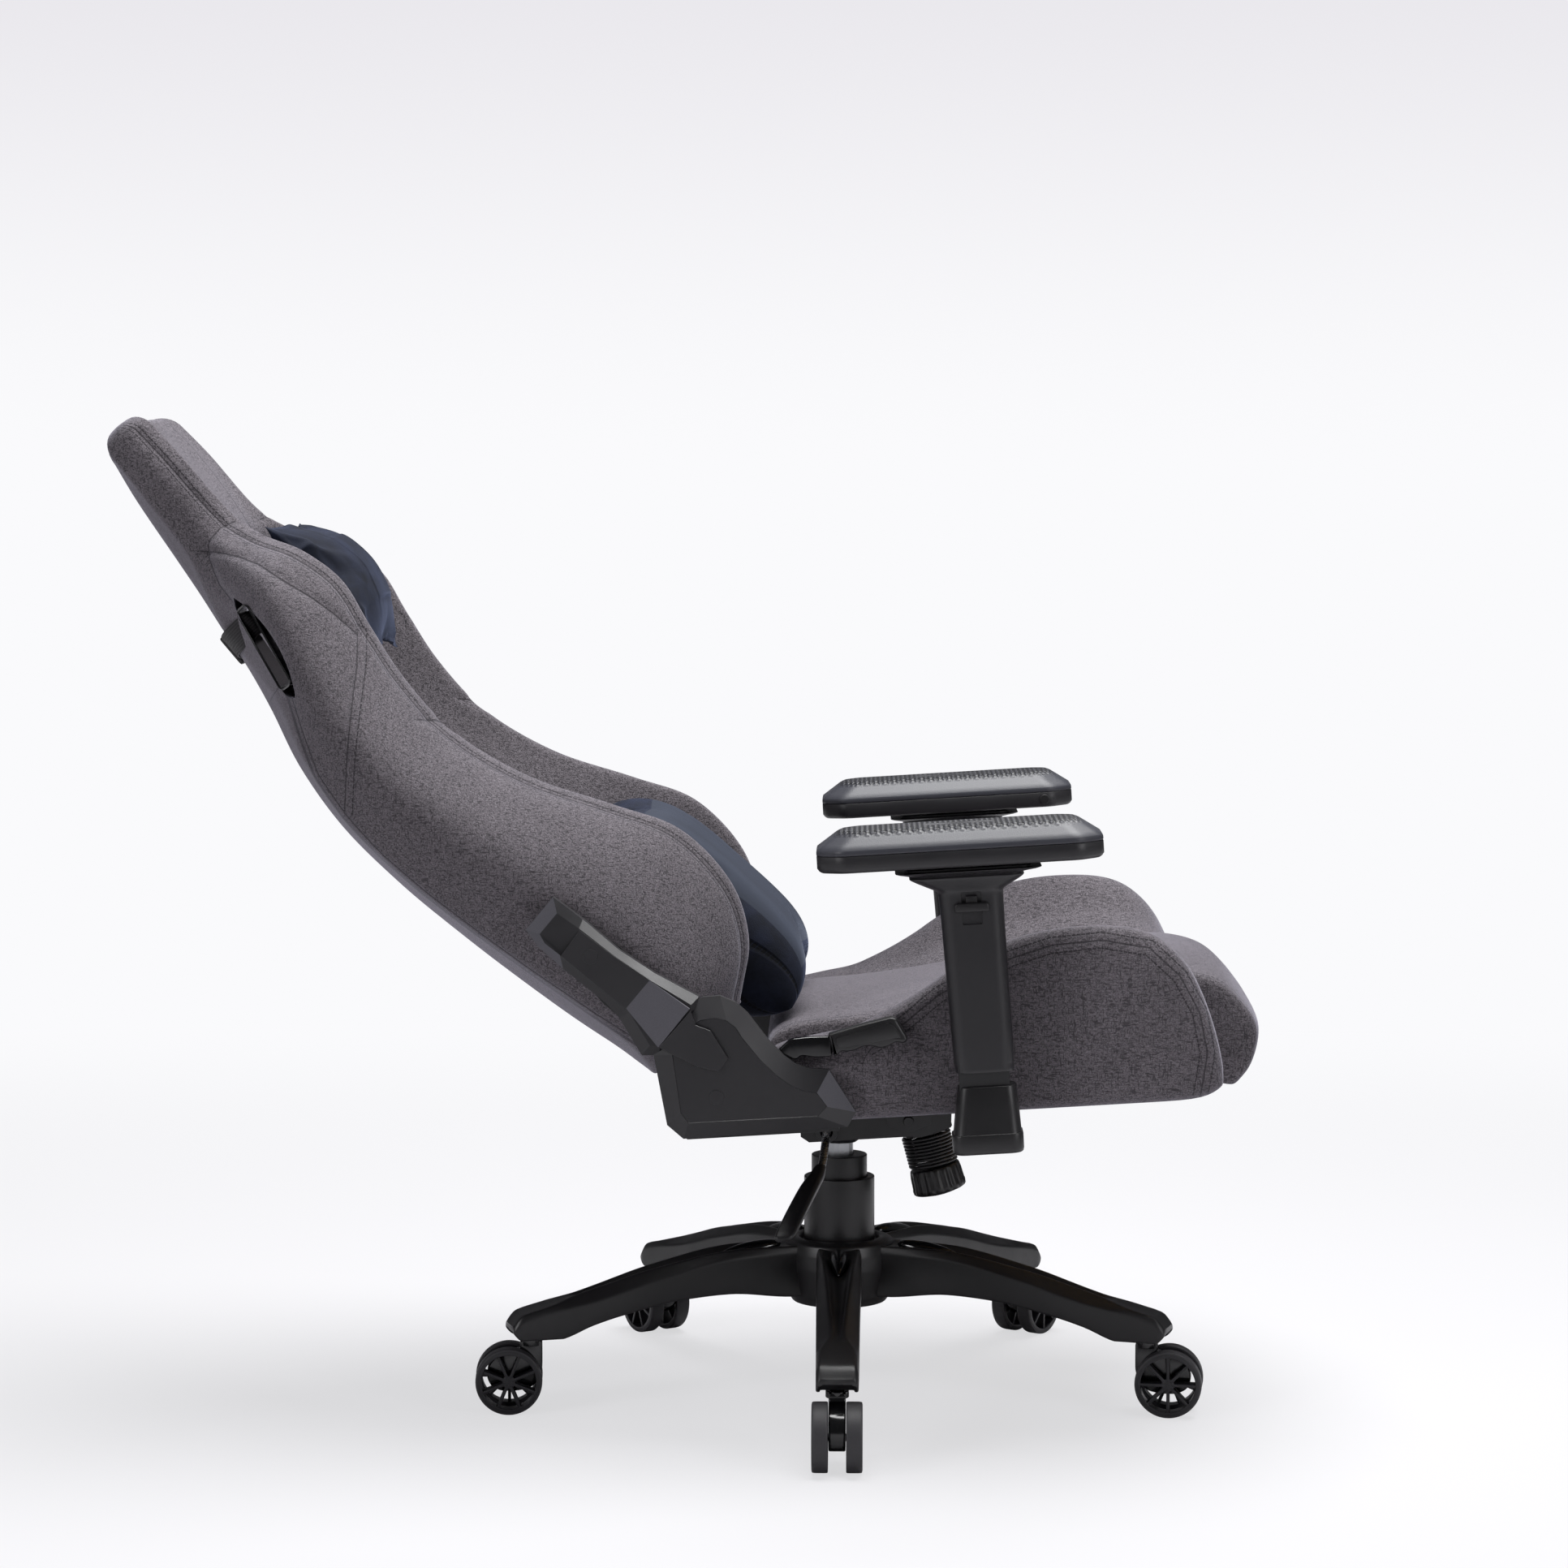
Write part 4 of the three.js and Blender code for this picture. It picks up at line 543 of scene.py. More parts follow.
def padMaterial():
    # soft polyurethane skin with small raised scales in rows, smooth towards the rim (second UV channel)
    material, add = newMaterial("softPolyurethane")
    uv, edge = [add("SeparateXYZ", (add("UVMap", uv_map=name),), None) for name in ("panel", "seams")]
    cell = padSettings["cell"]
    row = add("Math", (uv[1], cell * 0.87), operation="DIVIDE")
    halfStep = add("Math", (add("Math", (row, 0), operation="FLOOR"), 0.5), operation="MULTIPLY")
    shifted = add("Math", (add("Math", (uv[0], cell), operation="DIVIDE"), halfStep))
    a, b = [add("Math", (add("Math", (v, 0), operation="FRACT"), -0.5)) for v in (shifted, row)]
    offA, offB = [add("Math", (v, 0), operation="ABSOLUTE") for v in (a, b)]
    away = add("Math", (add("Math", (offA, 1.2), operation="MULTIPLY"), offB))
    scale = add("MapRange", (away, 0.2, 0.72, 1.0, 0.0))
    inside = add("MapRange", (edge[0], 11.0, 16.0, 0.0, 1.0))
    height = add("Math", (add("Math", (scale, b)), inside), operation="MULTIPLY")
    fine = add("TexNoise", {"Vector": add("TexCoord", output="Object"), "Scale": 900.0})
    height = add("Math", (height, add("Math", (fine, 0.1), operation="MULTIPLY")))
    relief = add("Bump", {"Strength": padSettings["depth"], "Distance": 0.0012, "Height": height})
    # the grooves between the scales are painted darker: painted shade
    gap = add("Math", (add("Math", (1.0, scale), operation="SUBTRACT"), inside), operation="MULTIPLY")
    top, groove = colour(padSettings["base"]), colour(padSettings["groove"])
    shade = add("Mix", {"Factor": gap, 6: top, 7: groove}, 2, data_type="RGBA")
    finishMaterial(add, {"Base Color": shade, "Roughness": 0.45, "Normal": relief})
    return material


def steelMaterial():
    # ground steel: fine scratches around the rod
    material, add = newMaterial("groundSteel")
    turned = add("Mapping", {"Vector": add("TexCoord", output="Object"), "Scale": (60, 60, 1600)})
    lines = add("TexNoise", {"Vector": turned, "Scale": 1.0, "Detail": 2.0})
    gloss = add("MapRange", (lines, 0.3, 0.7, 0.2, 0.36))
    relief = add("Bump", {"Strength": 0.1, "Distance": 0.0003, "Height": lines})
    finishMaterial(
        add, {"Base Color": colour("#8b8c90"), "Metallic": 1.0, "Roughness": gloss, "Normal": relief},
    )
    return material


def plywoodMaterial():
    # moulded birch: long grain along the seat
    material, add = newMaterial("birchPlywood")
    turned = add("Mapping", {"Vector": add("TexCoord", output="Object"), "Scale": (260, 18, 400)})
    lines = add("TexNoise", {"Vector": turned, "Scale": 1.0, "Detail": 4.0})
    shade = add("Mix", {"Factor": lines, 6: colour("#7d6340"), 7: colour("#b0925f")}, 2, data_type="RGBA")
    relief = add("Bump", {"Strength": 0.2, "Distance": 0.0004, "Height": lines})
    finishMaterial(add, {"Base Color": shade, "Roughness": 0.6, "Normal": relief})
    return material


def webbingMaterial():
    # knitted elastic, near black: ribs along the band, drawn 2.6 mm apart so that they show
    material, add = newMaterial("knittedElastic")
    uv = add("SeparateXYZ", (add("UVMap", uv_map="panel"),), None)
    rib = add("Math", (add("Math", (uv[1], 2.6), operation="DIVIDE"), 0), operation="FRACT")
    ridge = add("Math", (add("Math", (rib, -0.5)), 0), operation="ABSOLUTE")
    ridge = add("Math", (ridge, 2.0), operation="MULTIPLY")
    loops = add("Math", (add("Math", (uv[0], 6.2), operation="MULTIPLY"), 0), operation="SINE")
    loops = add("Math", (loops, 0.25), operation="MULTIPLY")
    # the valleys between the ribs are painted darker: painted shade
    shade = add("Mix", {"Factor": ridge, 6: colour("#2c292c"), 7: colour("#0c0b0d")}, 2, data_type="RGBA")
    height = add("Math", (loops, ridge), operation="SUBTRACT")
    relief = add("Bump", {"Strength": 0.6, "Distance": 0.0006, "Height": height})
    finishMaterial(add, {
        "Base Color": shade, "Roughness": 0.8, "Normal": relief, "Sheen Weight": 0.12,
        "Specular IOR Level": 0.25,
    })
    return material


finish["pad"] = padMaterial()
finish["brightSteel"] = steelMaterial()
finish["plywood"] = plywoodMaterial()
finish["webbing"] = webbingMaterial()
# velour: dense short nylon pile, deep navy, pale blue where it turns away
finish["velour"] = pileMaterial("navyVelour", "#161b2b", "#0a0d16", 0.34, "#8490b4", seam=131)
# smooth brushed cloth of the lumbar pillow's front
finish["slate"] = pileMaterial("brushedSlateCloth", "#2b303c", "#242832", 0.3, "#a3adc4", 0.12, (1, 0.2, 0.2))
print("materials made")

# back: one sewn cover over the shell, heights up the back in mm
backSettings = {
    # height, half width, rear, corner x, corner, side, crest x, crest, valley x, valley, front
    "rows": [
        [-2, 228, -78, 176, -66, -20, 174, 40, 120, 22, 20],
        [14, 240, -83, 196, -62, -14, 175, 60, 124, 22, 14],
        [40, 248, -90, 212, -60, -6, 175, 91, 126, 20, 8],
        [90, 252, -105, 222, -69, 0, 173, 115, 128, 16, 2],
        [165, 252, -123, 226, -88, -14, 170, 112, 128, 4, -12],
        [225, 250, -135, 227, -104, -30, 168, 77, 126, -14, -28],
        [300, 246, -148, 225, -120, -54, 165, 30, 122, -42, -55],
        [380, 241, -155, 218, -129, -72, 162, 2, 118, -72, -82],
        [450, 232, -150.5, 202, -124, -74, 159, -1, 112, -92, -100],
        [510, 221, -138.5, 170, -112, -68, 158, 7, 106, -100, -110],
        [560, 206, -131, 118, -116, -58, 157, 14, 100, -98, -110],
        [605, 180, -126, 106, -114, -54, 144, 1, 92, -84, -100],
        [645, 142, -122, 104, -104, -62, 116, -24, 78, -64, -76],
        [684, 110, -119, 99, -95, -68, 93, -37, 60, -50, -56],
        [760, 104, -110, 95, -93, -68, 91, -39, 56, -44, -49],
        [806, 94, -100.5, 86, -94, -68, 83, -42, 50, -46, -49],
    ],
    "rowStep": 3.6, "rearSamples": 26, "flankSamples": 17, "insideSamples": 14, "middleSamples": 16,
    "edgeRounding": 2.2, "foot": 3, "topAt": 820, "topRadius": 25, "bottomRadius": 2.8,
    "stitchAt": [13, 17, 21], "grooveDepth": 1.6, "grooveWidth": 4,
}


def backSection(q):
    # half rings for an array of heights: rear, flank, inside and middle curves, joined and mirrored.
    # Returns points (rows, n, 2) as x and forward, and the ring indices of corner, crest and valley
    table = np.array(backSettings["rows"], float)
    smooth = curveThrough(table, 24)
    half, rear, cornerX, corner, side, crestX, crest, valleyX, valley, front = [
        np.interp(q, smooth[:, 0], smooth[:, k]) for k in range(1, 11)
    ]
    pair = lambda x, p: np.stack(np.broadcast_arrays(x, p), axis=-1)
    zero = np.zeros_like(half)
    lower = curveThrough(
        [pair(zero, rear), pair(cornerX * 0.55, rear * 0.8 + corner * 0.2), pair(cornerX, corner)],
        backSettings["rearSamples"],
    )
    flank = curveThrough([
        pair(cornerX, corner), pair(half, side), pair((half + crestX) / 2, (side + 2 * crest) / 3),
        pair(crestX, crest),
    ], backSettings["flankSamples"])
    inside = curveThrough([
        pair(crestX, crest), pair((crestX + valleyX) / 2, (crest + valley) / 2 - 2), pair(valleyX, valley),
    ], backSettings["insideSamples"])
    middle = curveThrough(
        [pair(valleyX, valley), pair(valleyX * 0.6, front + (valley - front) * 0.3), pair(zero, front)],
        backSettings["middleSamples"],
    )
    parts = [lower, flank[1:], inside[1:], middle[1:]]
    marks = np.cumsum([len(lower) - 1, len(flank) - 1, len(inside) - 1])
    right = np.concatenate(parts)
    left = right[1:-1][::-1] * np.array([-1, 1])
    ring = np.concatenate([right, left]).swapaxes(0, 1)
    return ring, marks


def seamDistance(x, y, path):
    # signed distance of grid points to a polyline, and the length run along it; positive to its left
    path = np.asarray(path, float)
    start, step = path[:-1], np.diff(path, axis=0)
    length = np.linalg.norm(step, axis=1)
    run = np.concatenate([[0], np.cumsum(length)[:-1]])
    dx, dy = x[..., None] - start[:, 0], y[..., None] - start[:, 1]
    t = np.clip((dx * step[:, 0] + dy * step[:, 1]) / length**2, 0, 1)
    ox, oy = dx - t * step[:, 0], dy - t * step[:, 1]
    away = np.hypot(ox, oy)
    best = np.argmin(away, axis=-1)[..., None]
    pick = lambda values: np.take_along_axis(values, best, axis=-1)[..., 0]
    side = np.sign(pick(np.broadcast_to(step[:, 0], ox.shape) * oy - np.broadcast_to(step[:, 1],
    ox.shape) * ox))
    return pick(away) * np.where(side == 0, 1, side), pick(run + t * length)


def groove(distance, depth, width):
    # depth of a sewn channel at a distance from its seam
    return depth * np.exp(-((distance / width) ** 2))


backSeams = {
    "shoulder": [
        (-84, 672), (-68, 658), (-54, 642), (-41, 622), (-30, 592), (-19, 563), (-13, 538), (-9, 508),
    ],
    "sideFront": [(-9, 508), (-28, 484), (-66, 444), (-98, 412), (-124, 386)],
    "headCross": [(-39, 673), (-52, 677), (-69, 674), (-80, 667)],
    "neckRear": [(-79, 667), (-85, 648), (-89, 633), (-88, 614)],
    "columnFoot": [(-96, 519), (-108, 518), (-124, 517)],
    "crestDart": [(-17, 409), (-5, 397), (2, 380)],
    "zip": [
        (-92, 520), (-112, 470), (-126, 430), (-130, 382), (-127, 330), (-118, 277), (-104, 215), (-90, 157),
        (-70, 85), (-50, 20),
    ],
}


def backCover():
    # rows of half rings up the back, turned over at both ends and sunk along the seams by the grooves' depths
    s = backSettings
    q = np.arange(s["foot"], s["topAt"] - s["topRadius"] + 0.1, s["rowStep"])
    ring, marks = backSection(q)
    # the bottom and the top turn over a quarter circle
    turn = np.linspace(0, math.pi / 2, 9)[1:]
    ring = soften(soften(ring, s["edgeRounding"], axis=1), 1.2, axis=0, closed=False)
    heights = np.broadcast_to(q[:, None], ring.shape[:2]).copy()
    middle = (ring[..., 1].max(axis=1) + ring[..., 1].min(axis=1)) / 2
    centre = np.stack([0 * middle, middle], axis=-1)[:, None]

    def capped(row, radius, sign):
        # rows drawn in towards the ring's middle while they rise round a quarter circle
        reach = ring[row] - centre[row]
        widest = np.abs(reach).max(axis=0)
        inward = radius * (1 - np.cos(turn))[:, None, None]
        rows = centre[row] + reach * np.maximum(1 - inward / (widest * np.array([1.0, 1.15])), 0.12)
        rise = heights[row][None] + sign * radius * np.sin(turn)[:, None]
        return rows, rise

    topRows, topHeights = capped(-1, s["topRadius"], 1)
    lowRows, lowHeights = capped(0, s["bottomRadius"], -1)
    ring = np.concatenate([lowRows[::-1], ring, topRows])
    heights = np.concatenate([lowHeights[::-1], heights, topHeights])
    x, p = ring[..., 0], ring[..., 1]
    flat = np.stack([x, p, heights], axis=-1)
    # distance round the ring from the crest, positive towards the rear
    hop = np.linalg.norm(np.roll(flat, -1, axis=1) - flat, axis=-1)
    length = np.concatenate([np.zeros((len(hop), 1)), np.cumsum(hop, axis=1)[:, :-1]], axis=1)
    count = flat.shape[1]
    crest, valley = marks[1:, None]
    onRight = np.arange(count)[None] <= valley + s["middleSamples"] * 2
    crestDistance = np.where(onRight, length[:, crest] - length, length - length[:, (count - crest) % count])
    # rear half belongs to the nearer side
    away = {}
    onFlank = (crestDistance > -12) & (np.abs(x) > 60)
    for name, path in backSeams.items():
        away[name] = np.where(onFlank, seamDistance(p, heights, path)[0], 60.0)
    nearer = lambda a, b: np.where(np.abs(a) < np.abs(b), a, b)
    away["neckRear"] = nearer(away["neckRear"], away["columnFoot"])
    away["headCross"] = nearer(away["headCross"], away["crestDart"])
    valleyDistance = np.where(
        onRight, length - length[:, valley], length[:, (count - valley) % count] - length,
    )
    # outward normals of the grid
    du = np.roll(flat, -1, axis=1) - np.roll(flat, 1, axis=1)
    dv = np.gradient(flat, axis=0)
    normal = np.cross(du, dv)
    normal /= np.linalg.norm(normal, axis=-1, keepdims=True) + 1e-12
    outward = np.sign((normal * (flat - flat.mean(axis=(0, 1)))).sum())
    normal *= outward
    sink = sum(groove(away[k], s["grooveDepth"], s["grooveWidth"]) for k in ("shoulder", "headCross",
    "neckRear"))
    sink = sink + groove(away["sideFront"], 0.8, 3) + groove(away["sideFront"] - 8, 0.8, 3)
    sink = sink + groove(crestDistance - s["stitchAt"][1], 1.3, 3.5) * (heights < 800)
    sink = sink + groove(valleyDistance, 2.2, 5) * (heights < 640) * (heights > 6)
    flat = flat - normal * sink[..., None]
    marked = [away[k] for k in ("shoulder", "sideFront", "headCross", "neckRear", "zip")]
    uv = np.stack([crestDistance, heights] + marked + [valleyDistance], axis=-1)
    # columns wrap, so the first column is repeated for its UVs
    flat, uv = [np.concatenate([values, values[:, :1]], axis=1) for values in (flat, uv)]
    return grid(onBack(flat[..., 0], flat[..., 1], flat[..., 2]), closeEnds=True, uv=uv)


stitchA, stitchB, stitchC = backSettings["stitchAt"]
backFabric = wovenMaterial("charcoalWeaveBack", [
    (uvName, channel, ("panel", 1), centre, half, kind) for uvName, channel, centre, half, kind in (
        ("panel", 0, stitchA, 0.7, "stitch"), ("panel", 0, stitchB, 0.8, "groove"),
        ("panel", 0, stitchC, 0.7, "stitch"),
        ("seams", 0, 0, 0.8, "groove"), ("seams", 1, 0, 0.7, "groove"), ("seams", 1, 8, 0.7, "stitch"),
        ("extra", 0, 0, 0.8, "groove"), ("extra", 1, 0, 0.8, "groove"),
        ("more", 0, 0, 1.6, "groove"), ("more", 0, 5, 0.8, "groove"), ("more", 1, 0, 0.8, "groove"),
    )
])
slotSettings = {
    "centre": (-87.5, 557), "width": 19.4, "length": 91.4, "lean": 6.5, "from": 60, "to": 246, "wall": 2.2,
    "linerFrom": 96, "proud": 0.8,
    # the opening in the cover, a pointed leaf: down its front edge and up its rear edge
    "leaf": [[-83, 614], [-76, 596], [-72.5, 578], [-71.8, 563], [-72.6, 549], [-76.5, 530], [-82.5, 514],
             [-92, 499],
             [-97, 503], [-100, 516], [-98.5, 545], [-95, 572], [-92, 591], [-88, 605]],
}


def slotRing(width, length):
    # the liner's outline on the back's side, as (forward, up)
    ring = roundRing(width, length, width / 2 - 2.5, 10)
    lean = math.radians(-slotSettings["lean"])
    a, b = ring[:, 0], ring[:, 1]
    return np.stack([
        slotSettings["centre"][0] + a * math.cos(lean) - b * math.sin(lean),
        slotSettings["centre"][1] + a * math.sin(lean) + b * math.cos(lean),
    ], axis=1)


def cutThrough(piece, cutter):
    # applies a difference boolean and removes the cutter
    step = piece.modifiers.new("cut", "BOOLEAN")
    step.operation, step.solver, step.object = "DIFFERENCE", "EXACT", cutter
    graph = bpy.context.evaluated_depsgraph_get()
    result = bpy.data.meshes.new_from_object(piece.evaluated_get(graph))
    piece.modifiers.remove(step)
    piece.data = result
    bpy.data.objects.remove(cutter)


back = meshPiece("back_cover", [backCover()], backFabric, smoothAngle=0)
leaf = np.array(slotSettings["leaf"], float)
ring = evenly(curveThrough(np.concatenate([leaf, leaf[:1]]), 8)[:-1], 90, closed=True)
cutters = []
for word, side in sides.items():
    across = side * np.linspace(slotSettings["from"], slotSettings["to"], 2)[:, None]
    cutters.append(grid(onBack(across, ring[None, :, 0], ring[None, :, 1]), wrapCols=True, closeEnds=True))
cutThrough(back, meshPiece("slot_cutter", cutters, backFabric, smoothAngle=0))
back.data.set_sharp_from_angle(angle=math.radians(50))
settle(back, "back", "grey_fabric", "back_cushion", "back_wing_right", "back_wing_left")
print("back cover made", len(back.data.polygons))

def reachOf(ring):
    # |x| where the line across the chair at each (forward, up) meets the cover's flank, or the rear behind it
    sections, marks = backSection(ring[:, 1])
    flank, rear = sections[:, marks[0]:marks[1] + 1], sections[:, :marks[0] + 1]
    order = np.argsort(flank[..., 1], axis=1)
    p, x = [np.take_along_axis(flank[..., k], order, 1) for k in (1, 0)]
    onFlank = [np.interp(r, a, b) for r, a, b in zip(ring[:, 0], p, x)]
    onRear = [np.interp(r, a[:, 1], a[:, 0]) for r, a in zip(ring[:, 0], rear)]
    return np.where(ring[:, 0] < p[:, 0], onRear, onFlank)


# glossy liner of each strap slot, following the cover's two faces
for word, side in sides.items():
    s = slotSettings
    outerRing = slotRing(s["width"], s["length"])
    innerRing = slotRing(s["width"] - 2 * s["wall"], s["length"] - 2 * s["wall"])
    far = s["proud"] + reachOf(outerRing)
    across = side * (s["linerFrom"] + (far - s["linerFrom"]) * np.array([0.0, 0.5, 1.0])[:, None])
    outer, inner = [onBack(across, ring[None, :, 0], ring[None, :, 1]) for ring in (outerRing, innerRing)]
    loop = np.concatenate([outer, inner[::-1]])
    trim = meshPiece(
        f"slot_liner_{word}", [grid(loop, wrapRows=True, wrapCols=True)], finish["gloss"], smoothAngle=40,
    )
    settle(trim, "back", "gloss_plastic", f"slot_trim_{word}", bevel=0.5)
print("slot liners made")

# seat: a pad with a rolled nose between two bolsters, s forward and h up in mm
cushionSettings = {
    # s, h, share of the sink, share of the tuck
    "top": [
        [-66, 78, 0, 0], [-60, 126, 1, 0], [-42, 139, 1, 0], [-19, 143, 1, 0], [30, 145, 1, 0],
        [116, 153, 1, 0], [190, 166, 1, 0],
        [260, 174, 1, 0], [320, 172, 1, 0], [354, 168, 1, 0], [384, 157, 0.8, 1], [403, 135, 0.4, 1],
        [418, 104, 0, 1], [409, 66, 0, 1], [392, 46, 0, 1],
    ],
    # distance from the middle, sink, tuck, shrink
    "sides": [
        [0, 0, 0, 0], [70, 1.5, 1, 0], [132, 5, 3, 0], [159, 9, 6, 1], [163, 12, 8, 3], [164.9, 17, 12, 7],
    ],
    "bottom": 58.1, "bottomEnds": [348, -60], "halfWidth": 164.9, "columns": 61,
    "seam": [[362, 144], [388, 138], [407, 127]],
}


def shrunk(rings, amount):
    # closed side outlines (stations, n, 2) drawn in towards the middle of their own box
    low, high = rings.min(axis=1, keepdims=True), rings.max(axis=1, keepdims=True)
    middle = (low + high) / 2
    return middle + (rings - middle) * (1 - 2 * amount[:, None, None] / (high - low))


def closedOutlines(forward, height, s, steps, shrink):
    # side outlines: the upper line, then along the underside and back, shrunk and with softened corners
    line = curveThrough(np.stack([forward, height], axis=-1), 12)
    t = np.linspace(0, 1, steps)[1:-1, None, None]
    last, first = line[-1], line[0]
    a, b = [np.broadcast_to(np.array([end, s["bottom"]], float), last.shape) for end in s["bottomEnds"]]
    under = np.concatenate([last + (a - last) * t[::8], a + (b - a) * t, b + (first - b) * t[::8]])
    return soften(shrunk(np.concatenate([line, under]).swapaxes(0, 1), shrink), 1.6, axis=1)


s = cushionSettings
spread = np.sin(np.linspace(-math.pi / 2, math.pi / 2, s["columns"]))
x = s["halfWidth"] * np.sign(spread) * np.abs(spread) ** 0.8
sink, tuck, shrink = [along(s["sides"], k, np.abs(x)) for k in (1, 2, 3)]
top = np.array(s["top"], float)[:, :, None]
rings = closedOutlines(top[:, 0] - top[:, 3] * tuck, top[:, 1] - top[:, 2] * sink, s, 40, shrink)
away, run = seamDistance(rings[..., 0], rings[..., 1], s["seam"])
uv = np.stack([np.broadcast_to(165 - np.abs(x)[:, None], away.shape), rings[..., 0], away, run], axis=-1)
seatFabric = wovenMaterial("charcoalWeaveSeat", [("panel", 0, ("panel", 1), 9, 0.7, "stitch")])
cushion = meshPiece(
    "seat_pad",
    [grid(onSeat(x[:, None], rings[..., 0], rings[..., 1]), wrapCols=True, closeEnds=True, uv=uv)],
    seatFabric, smoothAngle=60,
)
settle(cushion, "seat", "grey_fabric", "seat_cushion")

bolsterSettings = {
    # s, high, low
    "rows": [
        [-70, 78, 78], [-58, 120, 108], [-18, 131, 116], [20, 137, 120], [44, 146, 124], [66, 156, 128],
        [90, 169, 133], [114, 184, 138], [172, 211, 146],
        [235, 221, 156], [303, 213, 163], [338, 184, 150], [358, 140, 120], [370, 84, 82], [370, 60, 60],
    ],
    # across, rise, tuck, shrink
    "sides": [
        [165.3, 0, 6, 6], [167, 0.02, 3, 3], [172, 0.08, 0, 1], [186, 0.24, 0, 0], [200, 0.42, 0, 0],
        [221, 0.84, 0, 0],
        [230, 0.97, 0, 0], [236, 1, 0, 0], [243, 0.985, 0, 1.5], [249, 0.94, 1, 5], [253, 0.87, 2, 11],
    ],
    "bottom": 48, "bottomEnds": [352, -58],
    "seam": [
        [40, 118], [73, 141], [106, 165], [175, 195], [214, 205], [262, 207], [306, 197], [333, 169],
        [350, 133], [355, 94], [346, 52],
    ],
}
bolsterFabric = wovenMaterial("charcoalWeaveBolster", [
    ("panel", 0, ("panel", 1), centre, half, kind)
    for centre, half, kind in ((-7, 0.7, "stitch"), (0, 0.8, "groove"), (7, 0.7, "stitch"))
])


def seatBolster(side):
    # outlines from the inner to the outer face: low plus (high - low) times each station's rise
    s = bolsterSettings
    rows, sides = np.array(s["rows"], float), np.array(s["sides"], float)
    x = np.concatenate([np.linspace(165.3, 172, 5), np.linspace(172, 243, 22)[1:],
    np.linspace(243, 253, 7)[1:]])
    rise, tuck, shrink = [np.interp(x, sides[:, 0], sides[:, k]) for k in (1, 2, 3)]
    forward = rows[:, 0, None] - np.where(rows[:, 0, None] > 300, 1, 0) * tuck
    height = rows[:, 2, None] + (rows[:, 1] - rows[:, 2])[:, None] * rise
    rings = soften(closedOutlines(forward, height, s, 36, shrink), 0.9, axis=0, closed=False)
    # the outer face: the last outline drawn in to its middle, slightly domed
    middle = rings[-1].mean(axis=0)
    share = np.array([0.97, 0.93, 0.88, 0.82, 0.76, 0.7, 0.55, 0.35, 0.12])
    face = middle + (rings[-1] - middle) * share[:, None, None]
    rings = np.concatenate([rings, face])
    x = np.concatenate([x, 253 + 3.0 * (1 - share**2)])
    away, run = seamDistance(rings[..., 0], rings[..., 1], s["seam"])
    away = np.where(x[:, None] > 240, away, 90.0)
    uv = np.stack([away, run], axis=-1)
    lift = groove(away, 1.4, 4) + groove(away - 7, 0.6, 3) + groove(away + 7, 0.6, 3)
    across = side * (x[:, None] - lift)
    return meshPiece(f"seat_side_{'right' if side < 0 else 'left'}", [
        grid(onSeat(across, rings[..., 0], rings[..., 1]), wrapCols=True, closeEnds=True, uv=uv),
    ], bolsterFabric, smoothAngle=60)


for word, side in sides.items():
    bolster = settle(seatBolster(side), "seat", "grey_fabric", f"seat_bolster_{word}")
print("seat made")

# pillows: two sheets of velour sewn round their edge, filled by a short cloth simulation
pillowSettings = {
    "neck": {"width": 236, "height": 164, "depth": 86, "centre": (-18, 566), "lean": 2, "bow": 7,
             "corner": 0.2, "crown": (3.2, 1.7), "power": 0.62, "taper": 0.14,
             "columns": 60, "rows": 44, "panel": None},
    "lumbar": {"width": 276, "height": 252, "depth": 112, "centre": (53.5, 91), "lean": -18, "bow": -1,
               "corner": 0.06, "crown": (9.0, 4.0), "power": 0.5, "taper": 0,
               "columns": 60, "rows": 54, "panel": 10},
}
clothSettings = {"pressure": 4.0, "frames": 20, "grow": -0.06, "cap": 5.0}


def pillowSheets(s):
    # front and back sheets; depth is the square root of (1 - u^m)(1 - v^n), bowed round the back and leaned
    u = -np.cos(np.linspace(0, math.pi, s["columns"] + 1))[None, :]
    v = -np.cos(np.linspace(0, math.pi, s["rows"] + 1))[:, None]
    pull = 1 - s["corner"] * (1 - np.abs(u * v))
    ease = lambda w: np.where(np.abs(w) > 0.5, 1 + (pull - 1) * np.abs(w), 1)
    x = u * s["width"] / 2 * ease(u) * (1 - s["taper"] * (1 - v) / 2)
    q = v * s["height"] / 2 * ease(v)
    full = np.sqrt(np.maximum(1 - np.abs(u) ** s["crown"][0], 0)) * np.maximum(
        1 - np.abs(v) ** s["crown"][1], 0,
    ) ** s["power"]
    rows, cols = x.shape
    i, j = np.arange(rows)[:, None], np.arange(cols)[None]
    fromEdge = np.minimum(np.minimum(i, rows - 1 - i), np.minimum(j, cols - 1 - j))
    sheets = []
    for sign in (1, -1):
        p = sign * s["depth"] / 2 * full + s["bow"] * (1 - u**2) + s["lean"] * v
        uv = np.stack(np.broadcast_arrays(x, q, fromEdge * 1.0, sign * 1.0), axis=-1)
        sheet = grid(onBack(x, s["centre"][0] + p, s["centre"][1] + q), uv=uv)
        if sign > 0 and s["panel"]:
            inside = np.minimum(fromEdge[:-1], fromEdge[1:])
            inside = np.minimum(inside[:, :-1], inside[:, 1:])
            sheet["slots"] = (inside.ravel() >= s["panel"]).astype(int)
        sheets.append(sheet)
    return sheets


